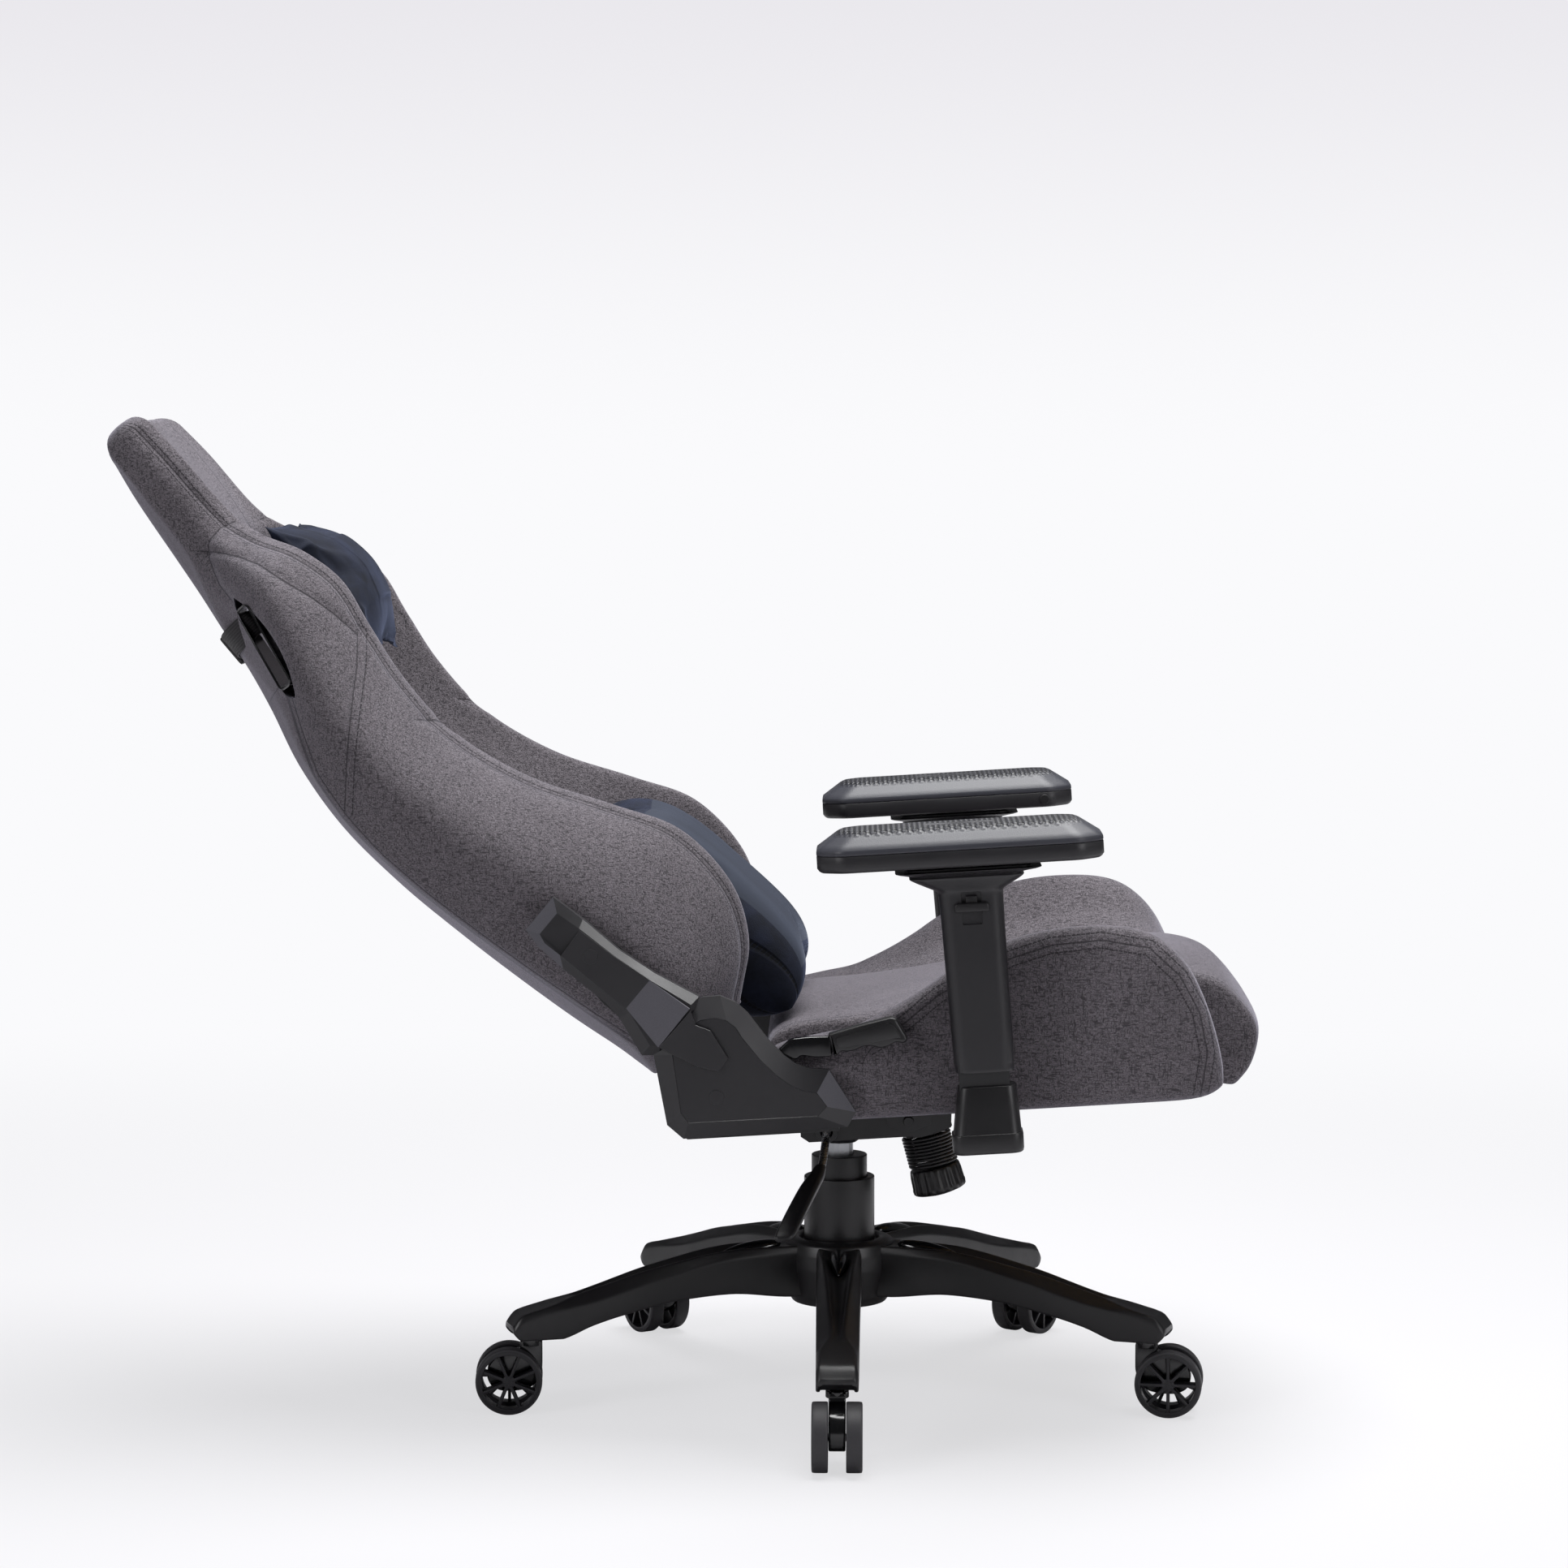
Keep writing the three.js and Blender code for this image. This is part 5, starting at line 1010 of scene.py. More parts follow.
def filled(piece):
    # pressure in a cloth that is cut a little too large makes creases; the move is capped, then the mesh is
    # fixed
    c = clothSettings
    mesh = piece.data
    before = np.empty(len(mesh.vertices) * 3)
    mesh.vertices.foreach_get("co", before)
    cloth = piece.modifiers.new("cloth", "CLOTH")
    cloth.settings.quality, cloth.settings.mass = 6, 0.25
    cloth.settings.tension_stiffness = cloth.settings.compression_stiffness = 12
    cloth.settings.bending_stiffness = 0.4
    cloth.settings.use_pressure, cloth.settings.uniform_pressure_force = True, c["pressure"]
    cloth.settings.shrink_min = cloth.settings.shrink_max = c["grow"]
    cloth.settings.effector_weights.gravity = 0
    cloth.collision_settings.use_collision = False
    cloth.point_cache.frame_start, cloth.point_cache.frame_end = 1, c["frames"]
    for number in range(1, c["frames"] + 1):
        bpy.context.scene.frame_set(number)
    graph = bpy.context.evaluated_depsgraph_get()
    result = bpy.data.meshes.new_from_object(piece.evaluated_get(graph))
    after = np.empty(len(result.vertices) * 3)
    result.vertices.foreach_get("co", after)
    piece.modifiers.remove(cloth)
    move = (after - before).reshape(-1, 3)
    length = np.linalg.norm(move, axis=1, keepdims=True)
    limit = c["cap"] / 1000
    move *= limit * np.tanh(length / limit) / np.maximum(length, 1e-9)
    mesh.vertices.foreach_set("co", (before.reshape(-1, 3) + move).ravel())
    bpy.data.meshes.remove(result)
    bpy.context.scene.frame_set(1)
    fine = piece.modifiers.new("fine", "SUBSURF")
    fine.levels = fine.render_levels = 1
    graph = bpy.context.evaluated_depsgraph_get()
    piece.data = bpy.data.meshes.new_from_object(piece.evaluated_get(graph))
    piece.modifiers.clear()
    return piece


neckPillow = filled(meshPiece("neck_pillow_velour", pillowSheets(pillowSettings["neck"]), finish["velour"],
smoothAngle=0))
settle(neckPillow, "back", "navy_velour", "neck_pillow")
lumbarPillow = filled(meshPiece("lumbar_pillow_velour", pillowSheets(pillowSettings["lumbar"]),
[finish["velour"], finish["slate"]], smoothAngle=0))
settle(lumbarPillow, "back", "navy_velour", "lumbar_pillow")
a = math.radians(placing["backLean"])
anchor = onBack(0, 0, 215)
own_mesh(lumbarPillow)
print("pillows made")

# neck pillow's strap: round the rear of the back and in through both slots
strapSettings = {
    "height": 584, "passage": -83, "width": 26, "thickness": 2.4, "corner": 1.0, "buckle": (44, 34, 5),
}


def strapBand():
    # the band's section swept along its path, and a frame buckle on it behind the back
    s = strapSettings
    table = np.array(backSettings["rows"], float)
    rear = np.interp(s["height"], table[:, 0], table[:, 2]) - s["thickness"] / 2
    flank = np.interp(s["height"], table[:, 0], table[:, 4]) - s["thickness"] / 2
    passage = s["passage"]
    half = np.array([
        [0, rear - 2.1], [56, rear + 0.6], [98.5, flank - 5.5], [120, flank + 4], [136, passage - 13],
        [140, passage - 7.4],
        [136, passage - 2.6], [120, passage - 1.3], [104, passage - 1.3], [93, passage + 1.2],
        [85, passage + 9.2], [83, passage + 40.4],
    ])
    path = evenly(curveThrough(np.concatenate([half[1:][::-1] * [-1, 1], half]), 10), 160)
    tangent = np.gradient(path, axis=0)
    tangent /= np.linalg.norm(tangent, axis=1, keepdims=True)
    normal = np.stack([-tangent[:, 1], tangent[:, 0]], axis=1)
    section = roundRing(s["thickness"], s["width"], s["corner"], 3)
    x = path[:, 0, None] + normal[:, 0, None] * section[:, 0]
    p = path[:, 1, None] + normal[:, 1, None] * section[:, 0]
    length = np.concatenate([[0], np.cumsum(np.linalg.norm(np.diff(path, axis=0), axis=1))])
    uv = np.stack(np.broadcast_arrays(length[:, None], section[:, 1][None] + 40), axis=-1)
    band = grid(onBack(x, p, s["height"] + section[:, 1]), wrapCols=True, closeEnds=True, uv=uv)
    wide, tall, thick = s["buckle"]
    ringOut, ringIn = roundRing(wide, tall, 5), roundRing(wide - 12, tall - 9, 3)
    levels = np.array([0, 0.25, 0.75, 1.0])[:, None] * thick
    shift = np.array([1, 0, 0, 1])[:, None]
    outer = ringOut[None] * (1 - shift[..., None] * 0.03)
    inner = ringIn[None] * (1 + shift[..., None] * 0.03)
    behind = rear - 2.1 - s["thickness"] / 2 - 0.3
    put = lambda ring: onBack(ring[..., 0], behind - levels, s["height"] + ring[..., 1])
    frameLoop = grid(np.concatenate([put(outer), put(inner)[::-1]]), wrapRows=True, wrapCols=True)
    frameLoop["slot"] = 1
    bar = slab(
        roundRing(7, tall - 6, 2), behind - 3.6, behind - 0.4, lambda d, a, b: onBack(a, d, s["height"] + b),
        0.8, slot=1,
    )
    return [band, frameLoop, bar]


strap = meshPiece("neck_strap_band", strapBand(), [finish["webbing"], finish["nylon"]])
settle(strap, "back", "webbing", "neck_strap")
print("strap made")

# star base: five ribbed legs on a hub, radii and heights in mm
baseSettings = {
    "count": 5, "start": 180, "tipRadius": 341, "width": 46, "tipWidth": 40, "wall": 4,
    "top": [
        [30, 153], [60, 153.5], [108, 152.5], [195, 137.5], [252, 121.5], [307, 105.5], [331, 99],
        [333.5, 97.6], [341, 89.5],
    ],
    "bottom": [
        [30, 101], [60, 102], [120, 108], [170, 105], [225, 94.5], [262, 84.5], [288, 74.2], [292, 73.2],
        [333, 73.4], [335, 74], [341, 79],
    ],
    "hub": [
        [25.5, 92], [47, 92], [52, 100], [56.8, 130], [57, 143], [54, 155], [46, 158], [40.5, 158],
        [38.5, 151.2], [25.5, 151.2],
    ],
    "rounding": 2.2, "inlay": (96, 34, 8.5, 147, 9, 0.17),
}


def starLeg(turn):
    # rounded sections out along the leg, with a top and bottom line of their own, turned about the hub
    s = baseSettings
    toe = [288, 290, 292, 300, 312, 324, 330, 331.5, 333, 334.5, 337, 339.5, 341, 341.8]
    r = np.concatenate([np.linspace(38, 286, 40), toe])
    top, bottom = along(s["top"], 1, r), along(s["bottom"], 1, r)
    half = (s["width"] + (s["tipWidth"] - s["width"]) * r / s["tipRadius"]) / 2
    # two ridges leave the hub at the edges and meet before the toe; the valley between them is shallow at
    # both ends
    channel = np.interp(r, [44, 60, 110, 200, 272, 284], [0.6, 3, 11, 8, 3, 0.5])
    ridge = np.interp(r, [44, 80, 262, 276, 304], [0.86, 0.8, 0.28, 0.3, 0.78])
    shoulder = np.interp(r, [44, 80, 230, 262, 304], [7, 8, 11, 10, 6])
    ceiling = np.where(r > 270, bottom + 2, np.maximum(top - 18, bottom + 2))
    inner, line = half - s["wall"], half * ridge
    right = np.stack([np.stack(pair, axis=-1) for pair in (
        (inner, bottom), (half, bottom), (half, top - shoulder), (line + 1.6, top - 0.6),
        (line - 1.2, top - 0.2),
        ((line - 1.2) * 0.55, top - channel * 0.8), ((line - 1.2) * 0.2, top - channel),
    )], axis=1)
    inside = np.stack([np.stack(pair, axis=-1) for pair in ((-inner, ceiling), (inner, ceiling))], axis=1)
    section = np.concatenate([right, right[:, ::-1] * [-1, 1], inside], axis=1)
    rings = np.stack([rounded(ring, s["rounding"], count=4) for ring in section])
    # the nose is drawn in over its last rows
    nose = np.interp(r, [336, 340, 341, 341.8], [0, 0.5, 1.0, 2.2])[:, None, None]
    middle = rings.mean(axis=1, keepdims=True)
    reach = np.abs(rings - middle).max(axis=1, keepdims=True)
    rings = middle + (rings - middle) * (1 - nose / reach)
    x, y = spun(r[:, None], rings[..., 0], turn)
    part = grid(onFloor(x, -y, rings[..., 1]), wrapCols=True)
    n = rings.shape[1]
    part["caps"] = [np.arange(n) + (len(r) - 1) * n]
    return part


def legInlay(turn):
    # A glossy drop that lies in the valley beside the hub: an ellipsoid, fuller towards the hub
    r0, long, wide, z0, tall, fall = baseSettings["inlay"]
    a = np.linspace(0.001, math.pi - 0.001, 17)[:, None]
    b = np.linspace(0, 2 * math.pi, 28, endpoint=False)[None]
    along, w = long * np.cos(a), wide * np.sin(a) * np.cos(b) * (1 - 0.3 * np.cos(a))
    r = r0 + along + 0 * b
    z = z0 - fall * along + tall * np.sin(a) * np.sin(b)
    x, y = spun(r, w, turn)
    part = grid(onFloor(x, -y, z), wrapCols=True, closeEnds=True)
    part["slot"] = 1
    return part


s = baseSettings
turns = [math.radians(s["start"] + 360 / s["count"] * i) for i in range(s["count"])]
upright = lambda x, y, z: onFloor(x, -y, z)
hub = revolve(rounded(baseSettings["hub"], 2.5), upright, 96)
parts = [starLeg(a) for a in turns] + [legInlay(a) for a in turns] + [hub]
starBase = meshPiece("star_base_moulding", parts, [finish["nylon"], finish["gloss"]], smoothAngle=35)
settle(starBase, "base", "matte_nylon", "star_base")
coverSettings = {
    "lower": [[31.5, 151.4], [35.5, 151.4], [35.5, 219], [28.6, 219], [28.6, 216], [31.5, 215]],
    "middle": [[24.5, 151.4], [28, 151.4], [28, 241], [14.6, 241], [14.6, 238], [24.5, 237]],
}
for name, node in (("lower", "cover_lower"), ("middle", "cover_middle")):
    tubePiece = meshPiece(
        f"lift_{node}", [revolve(rounded(coverSettings[name], 1.2), upright, 80)], finish["nylon"],
        smoothAngle=35,
    )
    settle(tubePiece, "base", "matte_nylon", node)
print("base made")

# casters: glossy hood, stem, and two spoked wheels on one axle
casterSettings = {
    "orbit": 320, "trail": 22, "headings": [0, 11, 2, -2, -14], "wheel": 33, "width": 15.5, "gap": 17,
    "tread": 2.4, "rim": 3.6,
    "spokes": 8, "spokeWidth": 3.0, "hub": 6.5, "hoodWidth": 16, "stem": 5.5,
    "hood": [
        [-11, 72.7], [-11, 44], [-7, 30], [2, 23.5], [14, 21], [30, 21], [40, 26], [44, 35], [43, 46],
        [35, 56], [23, 61.5], [11, 63.5], [11, 72.7],
    ],
}


def casterPlace(number):
    # maps the caster's own axes (trail, across, up) to the row frame
    s = casterSettings
    a = turns[number]
    b = a + math.radians(s["headings"][number])

    def place(trail, across, up):
        # the orbit's point, then trail and across turned by the caster's heading
        x, y = spun(trail, across, b)
        return onFloor(s["orbit"] * math.cos(a) + x, -(s["orbit"] * math.sin(a) + y), up)

    return place


def casterHood(number):
    # the hood's outline with thickness between the wheels, its collar and its stem
    s = casterSettings
    place = casterPlace(number)
    outline = rounded(s["hood"], 4, count=4)
    web = slab(outline, -s["hoodWidth"] / 2, s["hoodWidth"] / 2, lambda w, a, b: place(a, w, b), 1.4)
    neck = s["stem"] + 5.5
    collar = revolve(rounded(box(0.1, neck, 66, 72.7), 0.8), place, 32)
    stem = revolve(rounded(box(0.1, s["stem"], 70, 91), 0.8), place, 24)
    return [web, collar, stem]


def casterWheels(number):
    # two wheels, each a tyre, a rim and a hub turned about the axle, and spokes at equal angles
    s = casterSettings
    place = casterPlace(number)
    half, inner = s["width"] / 2, s["wheel"] - s["tread"]
    parts = []
    for side in (1, -1):
        centre = side * (s["gap"] / 2 + half)
        put = lambda a, b, c, centre=centre, side=side: place(
            s["trail"] + a, centre + side * c, s["wheel"] + b,
        )
        section = [[inner, -half], [s["wheel"], -half], [s["wheel"], half - 0.6], [inner, half - 0.4]]
        tyre = revolve(rounded(section, [0.6, 2.4, 4.6, 0.4], count=7), put, 72)
        hubPart = revolve(
            rounded([[0.1, -half], [s["hub"], -half], [s["hub"], half - 1], [0.1, half - 0.6]], 0.8), put, 40,
        )
        rim = revolve(rounded(box(inner - s["rim"], inner + 0.4, -half + 0.4, half - 0.2), 0.6), put, 72)
        hubPart["slot"] = rim["slot"] = 1
        parts += [tyre, hubPart, rim]
        reach = inner - s["rim"] + 0.6
        bar = box(3, reach, -s["spokeWidth"] / 2, s["spokeWidth"] / 2)
        for k in range(s["spokes"]):
            turn = 2 * math.pi * (k + (0.5 if side > 0 else 0)) / s["spokes"]
            flat = bar @ np.array([[math.cos(turn), math.sin(turn)], [-math.sin(turn), math.cos(turn)]])
            parts.append(slab(flat, -half + 1, half - 0.8, lambda d, a, b, put=put: put(a, b, d), 0.7,
            steps=2, slot=1))
    reach = s["gap"] / 2 + 2
    axle = revolve(box(0.1, 3.5, -reach, reach), lambda a, b, c: place(s["trail"] + a, c, s["wheel"] + b), 20)
    axle["slot"] = 1
    return parts + [axle]


for number in range(baseSettings["count"]):
    hood = meshPiece(
        f"caster_hood_moulding_{number + 1}", casterHood(number), finish["gloss"], smoothAngle=40,
    )
    settle(hood, f"caster_{number + 1}", "gloss_plastic", f"caster_hood_{number + 1}")
    wheels = meshPiece(
        f"caster_wheel_pair_{number + 1}", casterWheels(number), [finish["tyre"], finish["wheel"]],
        smoothAngle=35,
    )
    settle(wheels, f"wheels_{number + 1}", "wheel_tread", f"caster_wheels_{number + 1}")
print("casters made")

# tilt spring and its knob, about an axis leaned under the housing
springSettings = {
    "station": 85, "angle": 11.2, "radius": 23.5, "wire": 3.4, "coils": 9, "pitch": 3.5, "drop": 7,
    "steps": 28,
    "knobTop": 26.5, "knobBottom": 27.5, "knobLength": 25, "flutes": 18, "fluteDepth": 1.3,
}


def springPlace(x, y, z):
    # axis down z, leaned so that its foot is forward, hung at its station in the seat frame
    a = math.radians(springSettings["angle"])
    return onSeat(
        x, springSettings["station"] - (y * math.cos(a) + z * math.sin(a)),
        -y * math.sin(a) + z * math.cos(a),
    )


s = springSettings
t = np.linspace(0, s["coils"], s["coils"] * s["steps"] + 1)
top = -s["drop"] - 0.3 - s["wire"] / 2
outwards = np.stack([np.cos(2 * math.pi * t), np.sin(2 * math.pi * t), 0 * t], axis=1)
helix = s["radius"] * outwards + np.stack([0 * t, 0 * t, top - s["pitch"] * t], axis=1)
a = np.linspace(0, 2 * math.pi, 12, endpoint=False)[None, :, None]
coil = helix[:, None] + s["wire"] / 2 * (np.cos(a) * outwards[:, None] + np.sin(a) * np.array([0, 0, 1.0]))
coil = grid(springPlace(coil[..., 0], coil[..., 1], coil[..., 2]), wrapCols=True, closeEnds=True)
settle(
    meshPiece("tilt_spring_wire", [coil], finish["blackSteel"]), "mechanism", "black_steel", "tension_spring",
)
knobTop = -s["drop"] - (s["coils"] * s["pitch"] + s["wire"]) - 0.6
top, bottom, foot = s["knobTop"], s["knobBottom"], -s["knobLength"]
# height, radius, share of the flutes
levels = np.array([
    [0, top - 6, 0], [0, top - 2.4, 0], [-0.8, top - 1.4, 0.1], [-2.5, top - 0.7, 0.6], [-7, top, 1],
    [-18, (top + bottom) / 2, 1], [foot + 5, bottom, 1], [foot + 1.5, bottom - 0.3, 0.7],
    [foot, bottom - 1.6, 0.1],
    [foot - 1, bottom - 4, 0], [foot - 3, bottom * 0.55, 0], [foot - 3, 1, 0],
])
turn = np.linspace(0, 2 * math.pi, s["flutes"] * 12, endpoint=False)
flute = s["fluteDepth"] * (0.5 - 0.5 * np.cos(turn * s["flutes"])) ** 1.5
radius = levels[:, 1, None] - flute * levels[:, 2, None]
rings = springPlace(radius * np.cos(turn), radius * np.sin(turn), knobTop + levels[:, 0, None] + 0 * turn)
knob = grid(rings, wrapCols=True, closeEnds=True)
bolt = revolve(box(0.1, 6, knobTop - 3, 9.5), springPlace, 24)
settle(
    meshPiece("tension_knob_moulding", [knob, bolt], finish["nylon"], smoothAngle=50), "tension_knob",
    "matte_nylon", "tension_knob",
)
print("spring and knob made")

# lift lever: bent steel rod with a moulded paddle
leverSettings = {
    "path": [[-51, -12, 8], [-92, -12, 10], [-128, -13, 6], [-148, -17, -10], [-166, -24, -24]],
    "thickness": 8, "ball": 5.8,
    # across, s, h, width, thickness
    "grip": [
        [-149.6, -18.4, -11.2, 8, 8], [-150, -18.5, -11.5, 11, 11], [-152, -19.4, -13, 12, 12],
        [-158, -22, -18, 15, 12.4], [-172, -30, -27, 19, 12],
        [-200, -43, -45, 20, 9.4], [-226, -54, -61, 20, 7.6], [-230.5, -55.8, -63.8, 17, 6],
        [-232, -56.4, -65, 12, 4],
    ],
    "lean": 32,
}
s = leverSettings
path = evenly(curveThrough(s["path"], 16), 90)
rod = tube(onSeat(path[:, 0], path[:, 1], path[:, 2]) * 1000, s["thickness"] / 2, 24)
rod["points"] = rod["points"] / 1000
a = np.linspace(0, math.pi, 16)
x0, s0, h0 = s["path"][0]
profile = np.stack([s["ball"] * np.sin(a) + 1e-6, s["ball"] * np.cos(a)], axis=1)
ball = revolve(profile, lambda x, y, z: onSeat(x0 + x, s0 + y, h0 + z), 24)
settle(
    meshPiece("lift_lever_rod", [rod, ball], finish["brightSteel"]), "lift_lever", "bright_steel",
    "lift_lever",
)
grip = np.array(s["grip"])
t = np.linspace(0, len(grip) - 1, (len(grip) - 1) * 5 + 1)
grip = np.stack([np.interp(t, np.arange(len(grip)), grip[:, k]) for k in range(5)], axis=1)
grip = soften(grip, 1.2, axis=0, closed=False)
rings = np.stack([roundRing(w, th, min(w, th) * 0.42, 6) for w, th in grip[:, 3:]])
a = math.radians(s["lean"])
across, forward, up = rings[..., 1] * -math.sin(a), rings[..., 0], rings[..., 1] * math.cos(a)
x0, s0, h0 = [grip[:, k, None] for k in range(3)]
paddle = grid(onSeat(x0 + across, s0 + forward, h0 + up), wrapCols=True, closeEnds=True)
settle(
    meshPiece("lift_lever_paddle", [paddle], finish["nylon"], smoothAngle=50), "lift_lever", "matte_nylon",
    "lever_grip",
)
print("lever made")

# arms: boot, sleeve with its flared neck, trigger, pad in two halves and a round button
armSettings = {
    "across": 290, "station": 142.5, "padForward": 132, "corner": 11,
    "boot": [[20, 40.8, 63, 142.8], [21.2, 43.4, 65.4, 142.8], [24, 44.8, 66.6, 142.8],
             [37.4, 44.8, 66.6, 142.8], [38.4, 44.2, 66, 142.8],
             [38.9, 42.8, 64, 142.9], [40, 42.4, 63.2, 143], [60, 38.6, 59.6, 143.9], [81, 34, 55.4, 144.8],
             [82.4, 33.4, 54.8, 144.8], [83, 32, 53.4, 144.8]],
    "sleeve": [[96, 31.4, 53.6, 143.6], [97, 32.6, 55, 143.6], [104, 32.8, 55.4, 143.4],
               [105, 32.8, 56.2, 143.4], [180, 32.8, 58, 141.8], [262, 32.8, 60.4, 140],
               [266, 33.4, 61.6, 139.8], [272, 40, 80, 138.6], [278.4, 49, 102, 137.4],
               [280.4, 51, 106.6, 137], [281.2, 51, 106.8, 137], [281.6, 49.4, 104.6, 137],
               [282.4, 49, 104.6, 137.2], [283.6, 53, 110, 137.6], [286.9, 71, 135, 138.8],
               [287.5, 72, 136, 138.8]],
    "trigger": {"centre": 140, "bar": (33, 245.8, 256.4), "stem": (10.5, 250, 262.6), "stand": 4.6},
    "pocket": (-9.5, 9.5, 235.5, 266.4), "pocketDepth": 2.4,
    "padWidth": 98, "base": [
        [292.9, 92, 258, 20], [294.4, 95.4, 262.4, 21], [297, 98, 266, 22], [308, 98, 266, 22],
        [308.7, 97, 265, 21.6],
    ],
    "top": [
        [309, 97, 265, 21.6], [309.6, 98, 266, 22], [312.2, 98, 266, 22], [314, 97, 264.8, 21.7],
        [327.4, 70.5, 227, 16.4], [329, 66, 221, 16], [330, 61, 216, 15],
    ],
}


def padOutline(width, length, chamfer):
    # a rectangle with its corners cut, by the chamfer along and 0.8 of it across, and eased
    w, l, c = width / 2, length / 2, chamfer
    half = np.array([[w, -l + c], [w, l - c], [w - c * 0.8, l], [-w + c * 0.8, l]])
    return rounded(np.concatenate([half, -half]), 7, count=6)


def padHalf(rows, side, fine):
    # outlines [height, width, length, chamfer] one above another, with even steps between
    s = armSettings
    rows = np.array(rows, float)
    at = np.interp(
        np.linspace(0, len(rows) - 1, (len(rows) - 1) * fine + 1), np.arange(len(rows)), rows[:, 0],
    )
    rows = np.stack([at] + [np.interp(at, rows[:, 0], rows[:, k]) for k in (1, 2, 3)], axis=1)
    rings = np.stack([padOutline(r[1], r[2], r[3]) for r in rows])
    # the top face is drawn in to its middle in rows, so that its texture has even coordinates
    edge = s["padWidth"] / 2 - rows[:, 1] / 2
    heights = rows[:, 0]
    share = np.array([0.85, 0.6, 0.3])
    rings = np.concatenate([rings, rings[-1] * share[:, None, None]])
    heights = np.concatenate([heights, heights[-1] + 0 * share])
    edge = np.concatenate([edge, 20 + 20 * (1 - share)])
    across = np.broadcast_to(edge[:, None], rings.shape[:2])
    uv = np.stack([rings[..., 0], rings[..., 1], across, across * 0], axis=-1)
    x, forward = side * s["across"] + rings[..., 0], s["padForward"] + rings[..., 1]
    return grid(onSeat(x, forward, heights[:, None]), wrapCols=True, closeEnds=True, uv=uv)


for word, side in sides.items():
    s = armSettings
    put = lambda x, y, z, side=side: onSeat(side * s["across"] + x, y, z)
    boot = meshPiece(
        f"arm_foot_{word}", [tower(s["boot"], put, s["corner"])], finish["nylon"], smoothAngle=40,
    )
    settle(boot, "seat", "matte_nylon", f"arm_boot_{word}")
    sleeve = meshPiece(
        f"arm_column_{word}", [tower(s["sleeve"], put, 13, fine=3)], finish["cover"], smoothAngle=40,
    )
    face = s["across"] + 16.4
    middle, (barWidth, barLow, barHigh), (stemWidth, stemLow, stemHigh), stand = s["trigger"].values()
    plate = lambda d, a, b, side=side: onSeat(side * d, a, b)
    pocket = rounded(box(*s["pocket"]) + [middle, 0], 1.5)
    pocket = slab(pocket, face - s["pocketDepth"], face + 8, plate, 0.3)
    cutThrough(sleeve, meshPiece("pocket_cutter", [pocket], finish["cover"]))
    sleeve.data.set_sharp_from_angle(angle=math.radians(40))
    settle(sleeve, f"arm_{word}", "matte_cover", f"arm_sleeve_{word}")
    half, stemHalf = barWidth / 2, stemWidth / 2
    bar = box(middle - half, middle + half, barLow + 2, barHigh) + [[0, 0], [0, 0], [-1, 0], [1, 0]]
    bar = slab(rounded(bar, 3), face + 0.3, face + stand, plate, 1.6)
    stem = rounded(box(middle - stemHalf, middle + stemHalf, stemLow, stemHigh), 1)
    stem = slab(stem, face - s["pocketDepth"] + 0.3, face + 1.4, plate, 0.7)
    settle(
        meshPiece(f"height_trigger_{word}_moulding", [bar, stem], finish["nylon"]), f"trigger_{word}",
        "matte_nylon", f"height_trigger_{word}",
    )
    base = meshPiece(f"pad_lower_{word}", [padHalf(s["base"], side, 2)], finish["cover"], smoothAngle=40)
    settle(base, f"pad_{word}", "matte_cover", f"pad_base_{word}")
    skin = meshPiece(f"pad_skin_{word}", [padHalf(s["top"], side, 3)], finish["pad"], smoothAngle=50)
    settle(skin, f"pad_{word}", "pad_rubber", f"pad_top_{word}")
print("arms made")

# recliner covers: faceted mouldings, outline at the seat side and panel at the face, in mm
coverShapes = {
    # outline and panel points belong to each other one to one; (s, h) in the seat frame
    "lowerOuter": [[-166, 126], [-157.5, 59], [-143, 45], [12, 47.5], [21, 61], [-2, 102.5], [-21, 105.5]],
    "lowerInner": [
        [-148, 126.5], [-143.5, 71], [-137, 61.2], [-15, 60.6], [-5.5, 69.5], [-14.5, 83.2], [-27.5, 86],
    ],
    # the shoulder and the hump, sampled alike on both
    "humpOuter": [
        [-33, 110.5], [-43, 118.5], [-56, 133], [-65.5, 147], [-75, 161], [-86, 172], [-100, 178.8],
        [-116, 178.5], [-134, 172], [-151, 159],
    ],
    "humpInner": [
        [-39.5, 92.5], [-51.5, 102.3], [-63.5, 115], [-73, 127.8], [-81, 139], [-86.5, 149], [-95, 156.5],
        [-106, 159.3], [-120, 158], [-138, 147],
    ],
    "low": 268.2, "rim": 273, "face": 284, "recess": 0.9, "capAt": [-109, 84], "cap": 7.2,
    # (p, q) in the back frame
    "upperOuter": [
        [-17.5, 198], [-57, 191], [-58.5, 172], [-54, 140], [-44, 90], [-43.5, 70], [-50, 30], [-36, 19],
        [22, 30], [27, 38], [9.5, 82], [-2, 120], [-9.5, 164],
    ],
    "upperInner": [
        [-24.5, 184], [-49.5, 179.5], [-51, 170], [-46.8, 152.7], [-36, 92], [-31.5, 70.4], [-37, 33],
        [-31, 27], [13, 33], [17.5, 37.5], [3.4, 78.5], [-8, 119], [-16.8, 160],
    ],
    "upperLow": 261, "upperRim": 272, "upperFace": 281.2, "endFall": 8.5, "middleRise": 6,
    "tongue": [
        [14, 34], [9, 20.8], [16.5, 7.9], [12.2, -22.6], [-2.5, -27], [-15, -10.4], [-26.5, 15.7], [-31, 27],
    ],
    "tongueLow": 284.6, "tongueFace": 287.4, "upperCapAt": [-25.8, 133],
}


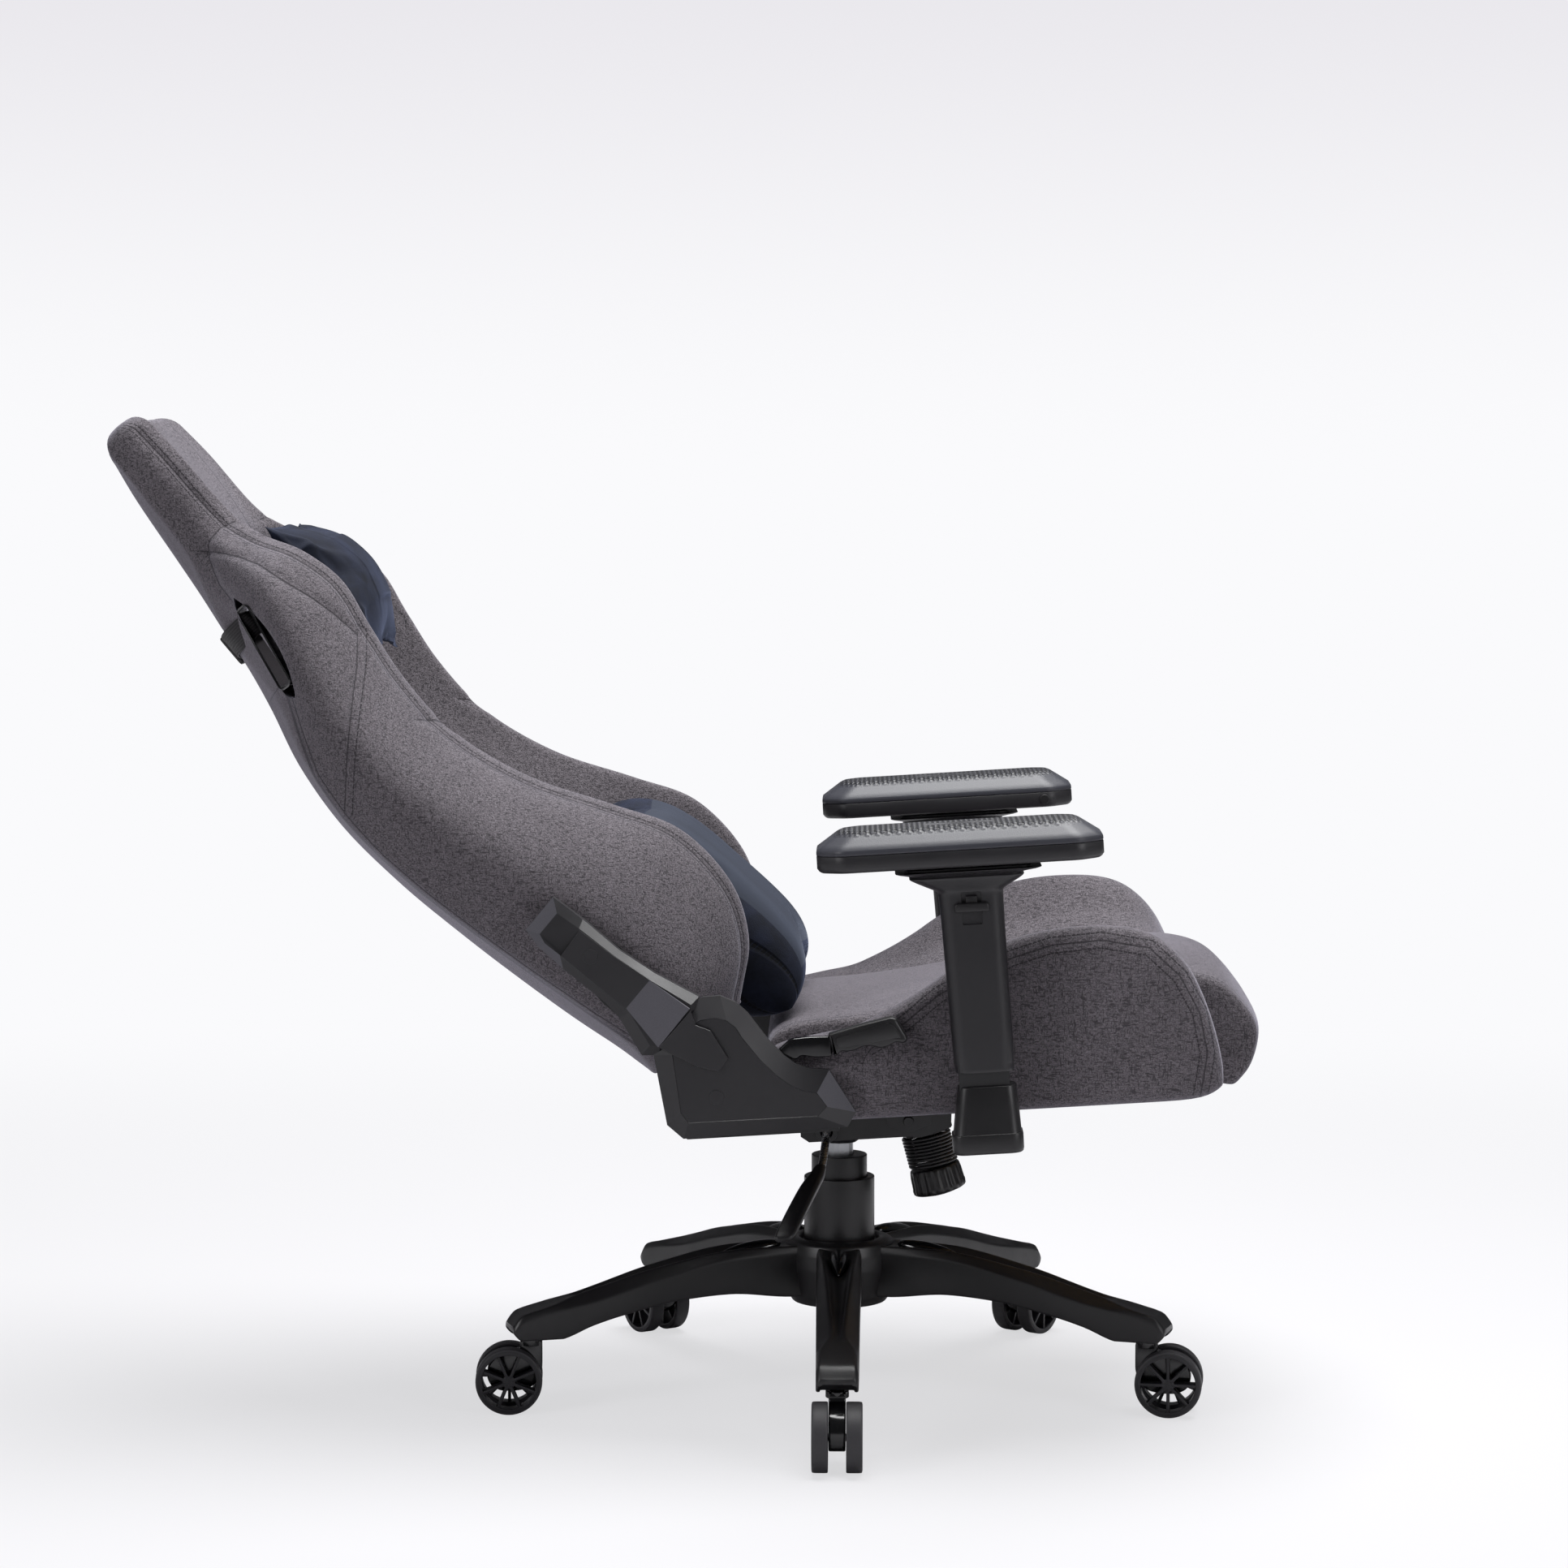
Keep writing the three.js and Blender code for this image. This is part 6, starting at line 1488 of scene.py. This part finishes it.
def facetPlate(outer, inner, low, rim, face, place, dent=0.0, slot=0):
    # walls up to the rim, facets in to the panel's outline (face may differ from corner to corner), and a
    # sunk panel
    outer, inner = np.asarray(outer, float), np.asarray(inner, float)
    face = np.broadcast_to(np.asarray(face, float), len(outer))
    lip = inset(inner, 0.9) if dent else inner
    depths = np.stack([np.full(len(outer), low), np.full(len(outer), rim),
    face] + ([face - dent] if dent else []))
    rings = np.stack([outer, outer, inner] + ([lip] if dent else []))
    part = grid(place(depths, rings[..., 0], rings[..., 1]), wrapCols=True)
    n = len(outer)
    part["caps"] = [np.arange(n), np.arange(n) + (len(rings) - 1) * n]
    part["slot"] = slot
    return part


def coverPieces(word, side):
    # the lower cover on the seat and the upper one on the back, each a faceted plate with its cap
    c = coverShapes
    seatPut = lambda d, a, b: onSeat(side * d, a, b)
    backPut = lambda d, a, b: onBack(side * d, a, b)
    outer = np.array(c["lowerOuter"] + c["humpOuter"], float)
    inner = np.array(c["lowerInner"] + c["humpInner"], float)
    plate = facetPlate(outer, inner, c["low"], c["rim"], c["face"], seatPut, dent=c["recess"])
    # the upper facet of the front end takes the paler finish too: a painted highlight where it faces the
    # light
    count = len(outer)
    plate["slots"] = np.zeros(len(plate["faces"]), int)
    plate["slots"][count + 4] = 1
    t = np.linspace(0, 2 * math.pi, 40, endpoint=False)
    disc = np.stack([np.cos(t), np.sin(t)], axis=1)
    cap = slab(disc * c["cap"] + c["capAt"], c["face"] - 2, c["face"] - 0.3, seatPut, 0.5)
    both = [finish["cover"], finish["facet"]]
    lower = meshPiece(f"lower_cover_moulding_{word}", [plate, cap], both, smoothAngle=12)
    settle(easedEdges(lower, 0.9, 3, 12), "seat", "matte_cover", f"lower_cover_{word}")
    outer, inner = np.array(c["upperOuter"], float), np.array(c["upperInner"], float)
    q = inner[:, 1]
    # the far end falls away beyond the cap
    fall = np.interp(q, [25, 152, 160, 186], [0, 0, -0.2, -c["endFall"]])
    plate = facetPlate(outer, inner, c["upperLow"], c["upperRim"], c["upperFace"] + fall, backPut)
    # the long facets at the top and the far end take the paler finish: a painted highlight where they face
    # the light
    n = len(outer)
    plate["slots"] = np.zeros(len(plate["faces"]), int)
    plate["slots"][[n, n + 1, n + 2]] = 1
    # the wedge between the panel and the tongue takes the paler finish as well (slot 1): a painted highlight
    wedge = np.array([[-31.5, 76], [2, 82], [14.5, 36], [-31.5, 27]])
    rise = np.array([0.3, 0.3, c["middleRise"], c["middleRise"]])
    face = c["upperFace"]
    wedge = facetPlate(wedge, wedge, face - 2, face - 1, face + rise, backPut, slot=1)
    panelRing = np.array([[-17.5, 158.5], [-46.5, 151.3], [-36, 93], [-31.5, 72], [2.8, 80], [-8.3, 119]])
    panel = slab(panelRing, c["upperFace"] - 3, c["upperFace"] + 0.5, backPut, 0.4)
    cap = slab(disc * c["cap"] + c["upperCapAt"], c["upperFace"] - 1, c["upperFace"] + 1.0, backPut, 0.4)
    tongue = slab(np.array(c["tongue"]), c["tongueLow"], c["tongueFace"], backPut, 0.8)
    parts = [plate, wedge, panel, cap, tongue]
    upper = meshPiece(f"upper_cover_moulding_{word}", parts, both, smoothAngle=8)
    settle(easedEdges(upper, 0.9, 3, 8), "back", "matte_cover", f"upper_cover_{word}")


for word, side in sides.items():
    coverPieces(word, side)
print("covers made")

# recline handle: polished neck from the bracket, and a grip with finger waves below
handleSettings = {
    "neck": [
        [-84, 96], [-62, 104], [-43, 117], [-33, 112], [-28, 117], [-15, 114], [2, 114], [2, 133], [-19, 134],
        [-37, 133], [-49, 123], [-84, 110],
    ],
    "grip": [[-1.2, 136], [30, 143.2], [59.4, 148.8], [64, 147], [73, 129.8], [73.6, 126], [69, 123.4],
             [62.8, 125.2], [55, 121.4], [47.4, 120],
             [39, 122.8], [31.4, 122.6], [23.7, 119.6], [16.1, 118.4], [10.6, 119.6], [4, 113.6]],
    "neckFrom": 258, "neckTo": 268, "gripFrom": 257.2, "gripTo": 275.8, "panelStep": 1.1,
}
s = handleSettings
handlePut = lambda d, a, b: onSeat(-d, a, b)
neckOutline = rounded(s["neck"], 4, count=4)
gripOutline = rounded(s["grip"], 2.2, count=4)
neckPart = slab(neckOutline, s["neckFrom"], s["neckTo"], handlePut, 2, steps=4)
neckPart["slot"] = 1
gripPart = slab(gripOutline, s["gripFrom"], s["gripTo"] - s["panelStep"], handlePut, 3, steps=3)
# the face's panel: the same outline in small, raised a little, with a straight lower edge
panelOutline = rounded(
    [[6, 132.5], [57.5, 144.2], [61, 142], [68, 129.5], [12, 122.5], [7.5, 123.5]], 2, count=3,
)
panelPart = slab(panelOutline, s["gripTo"] - s["panelStep"] - 2, s["gripTo"], handlePut, 0.8, steps=2)
handle = meshPiece(
    "recline_handle_moulding", [gripPart, panelPart, neckPart], [finish["nylon"], finish["gloss"]],
)
settle(handle, "recline_handle", "matte_nylon", "recline_handle")
print("handle made")

# CAD pieces kept, with finish and eased edges
kept = {
    "blackSteel": [
        "seat_plate", "recliner_plate_right", "recliner_plate_left", "back_bracket", "arm_post_right",
        "arm_post_left", "gas_cylinder", "lever_block", "tilt_housing", "pad_cross_plate_right",
        "pad_cross_plate_left", "pad_turn_plate_right", "pad_turn_plate_left",
    ],
    "nylon": ["pad_button_right", "pad_button_left"],
    "plywood": ["seat_board"],
}
for key, names in kept.items():
    for name in names:
        dressNode(name, finish[key], 0.6)
print("kept nodes dressed")
left = [n for n in nodes if not nodes[n].data.materials]
print("bare nodes", left)

# room: pale floor and backdrop, broad light from above, and the camera
roomSettings = {
    "floor": "#cbcacd", "shown": "#fafafc", "shownTop": "#e7e5ea",
    "width": 9.0, "depth": 7.0, "height": 5.0, "bend": 1.5, "behind": -6, "air": "#f2f3f8",
    "airStrength": 0.12,
}


def backdrop():
    # floor that turns up a wall over a quarter circle, in the camera's direction
    s = roomSettings
    a = np.linspace(0, math.pi / 2, 24)
    bend = np.stack([s["depth"] - s["bend"] + s["bend"] * np.sin(a), s["bend"] * (1 - np.cos(a))], axis=1)
    profile = np.concatenate([[[s["behind"], 0]], bend, [[s["depth"], s["height"]]]])
    y = np.linspace(-s["width"], s["width"], 3)[:, None]
    return grid(np.stack(np.broadcast_arrays(profile[:, 0], y, profile[:, 1]), axis=-1))


def backdropMaterial():
    # matt paper: takes the chair's shadow, and the camera sees it almost white where it is lit
    material, add = newMaterial("studioPaper")
    place = add("SeparateXYZ", (add("TexCoord", output="Object"),), None)
    rise = add("MapRange", (place[2], 0.9, 2.6, 0.0, 1.0), interpolation_type="SMOOTHSTEP")
    far = add("MapRange", (place[0], 0.4, 2.6, 0.68, 1.0), interpolation_type="SMOOTHSTEP")
    floor, shown, shownTop = [colour(roomSettings[k]) for k in ("floor", "shown", "shownTop")]
    tone = add("Mix", {"Factor": rise, 6: shown, 7: shownTop}, 2, data_type="RGBA")
    share = add("Math", (far, add("LightPath", output="Is Camera Ray")), operation="MULTIPLY")
    diffuse = add("BsdfDiffuse", {"Color": floor})
    glow = add("Emission", {"Color": tone, "Strength": 1.0})
    add("OutputMaterial", {"Surface": add("MixShader", (share, diffuse, glow))}, None)
    return material


room = meshPiece("studio_paper", [backdrop()], backdropMaterial(), smoothAngle=60)
lightSettings = {
    # place, aim, size, power, colour
    "above": ((0.2, -0.5, 3.0), (0, 0, 0.5), 2.4, 168, "#ffffff"),
    "front": ((-2.3, -2.7, 1.5), (0, 0, 0.5), 1.3, 27, "#fdfcff"),
    "rear": ((-2.4, 2.7, 1.9), (0, 0, 0.5), 1.3, 40, "#fdfcff"),
}


def lookAlong(direction):
    # rotation that points an object's -Z along a direction, with its Y up
    return Vector(direction).to_track_quat("-Z", "Y").to_euler()


for name, (place, aim, size, power, tint) in lightSettings.items():
    light = bpy.data.lights.new(name, "AREA")
    light.shape, light.size, light.energy, light.color = "DISK", size, power, colour(tint)[:3]
    lamp = bpy.data.objects.new(name, light)
    lamp.location = place
    lamp.rotation_euler = lookAlong(np.array(aim) - np.array(place))
    bpy.context.scene.collection.objects.link(lamp)
world = bpy.data.worlds.new("studio")
bpy.context.scene.world = world
world.use_nodes = True
air = world.node_tree.nodes["Background"].inputs
air["Color"].default_value = colour(roomSettings["air"])
air["Strength"].default_value = roomSettings["airStrength"]
s = {"lens": 93.2, "distance": 4.057, "behind": -0.022, "height": 0.938, "down": 4.55, "yaw": 1.1}
camera = bpy.data.cameras.new("camera")
camera.lens, camera.sensor_width, camera.clip_end = s["lens"], 36, 50
eye = bpy.data.objects.new("camera", camera)
eye.location = (liftAxis[0] - s["distance"], liftAxis[1] + s["behind"], s["height"])
a, b = math.radians(s["yaw"]), math.radians(s["down"])
eye.rotation_euler = lookAlong((math.cos(b) * math.cos(a), math.cos(b) * math.sin(a), -math.sin(b)))
bpy.context.scene.collection.objects.link(eye)
bpy.context.scene.camera = eye
bpy.context.scene.view_settings.view_transform = "Standard"
print("room made")
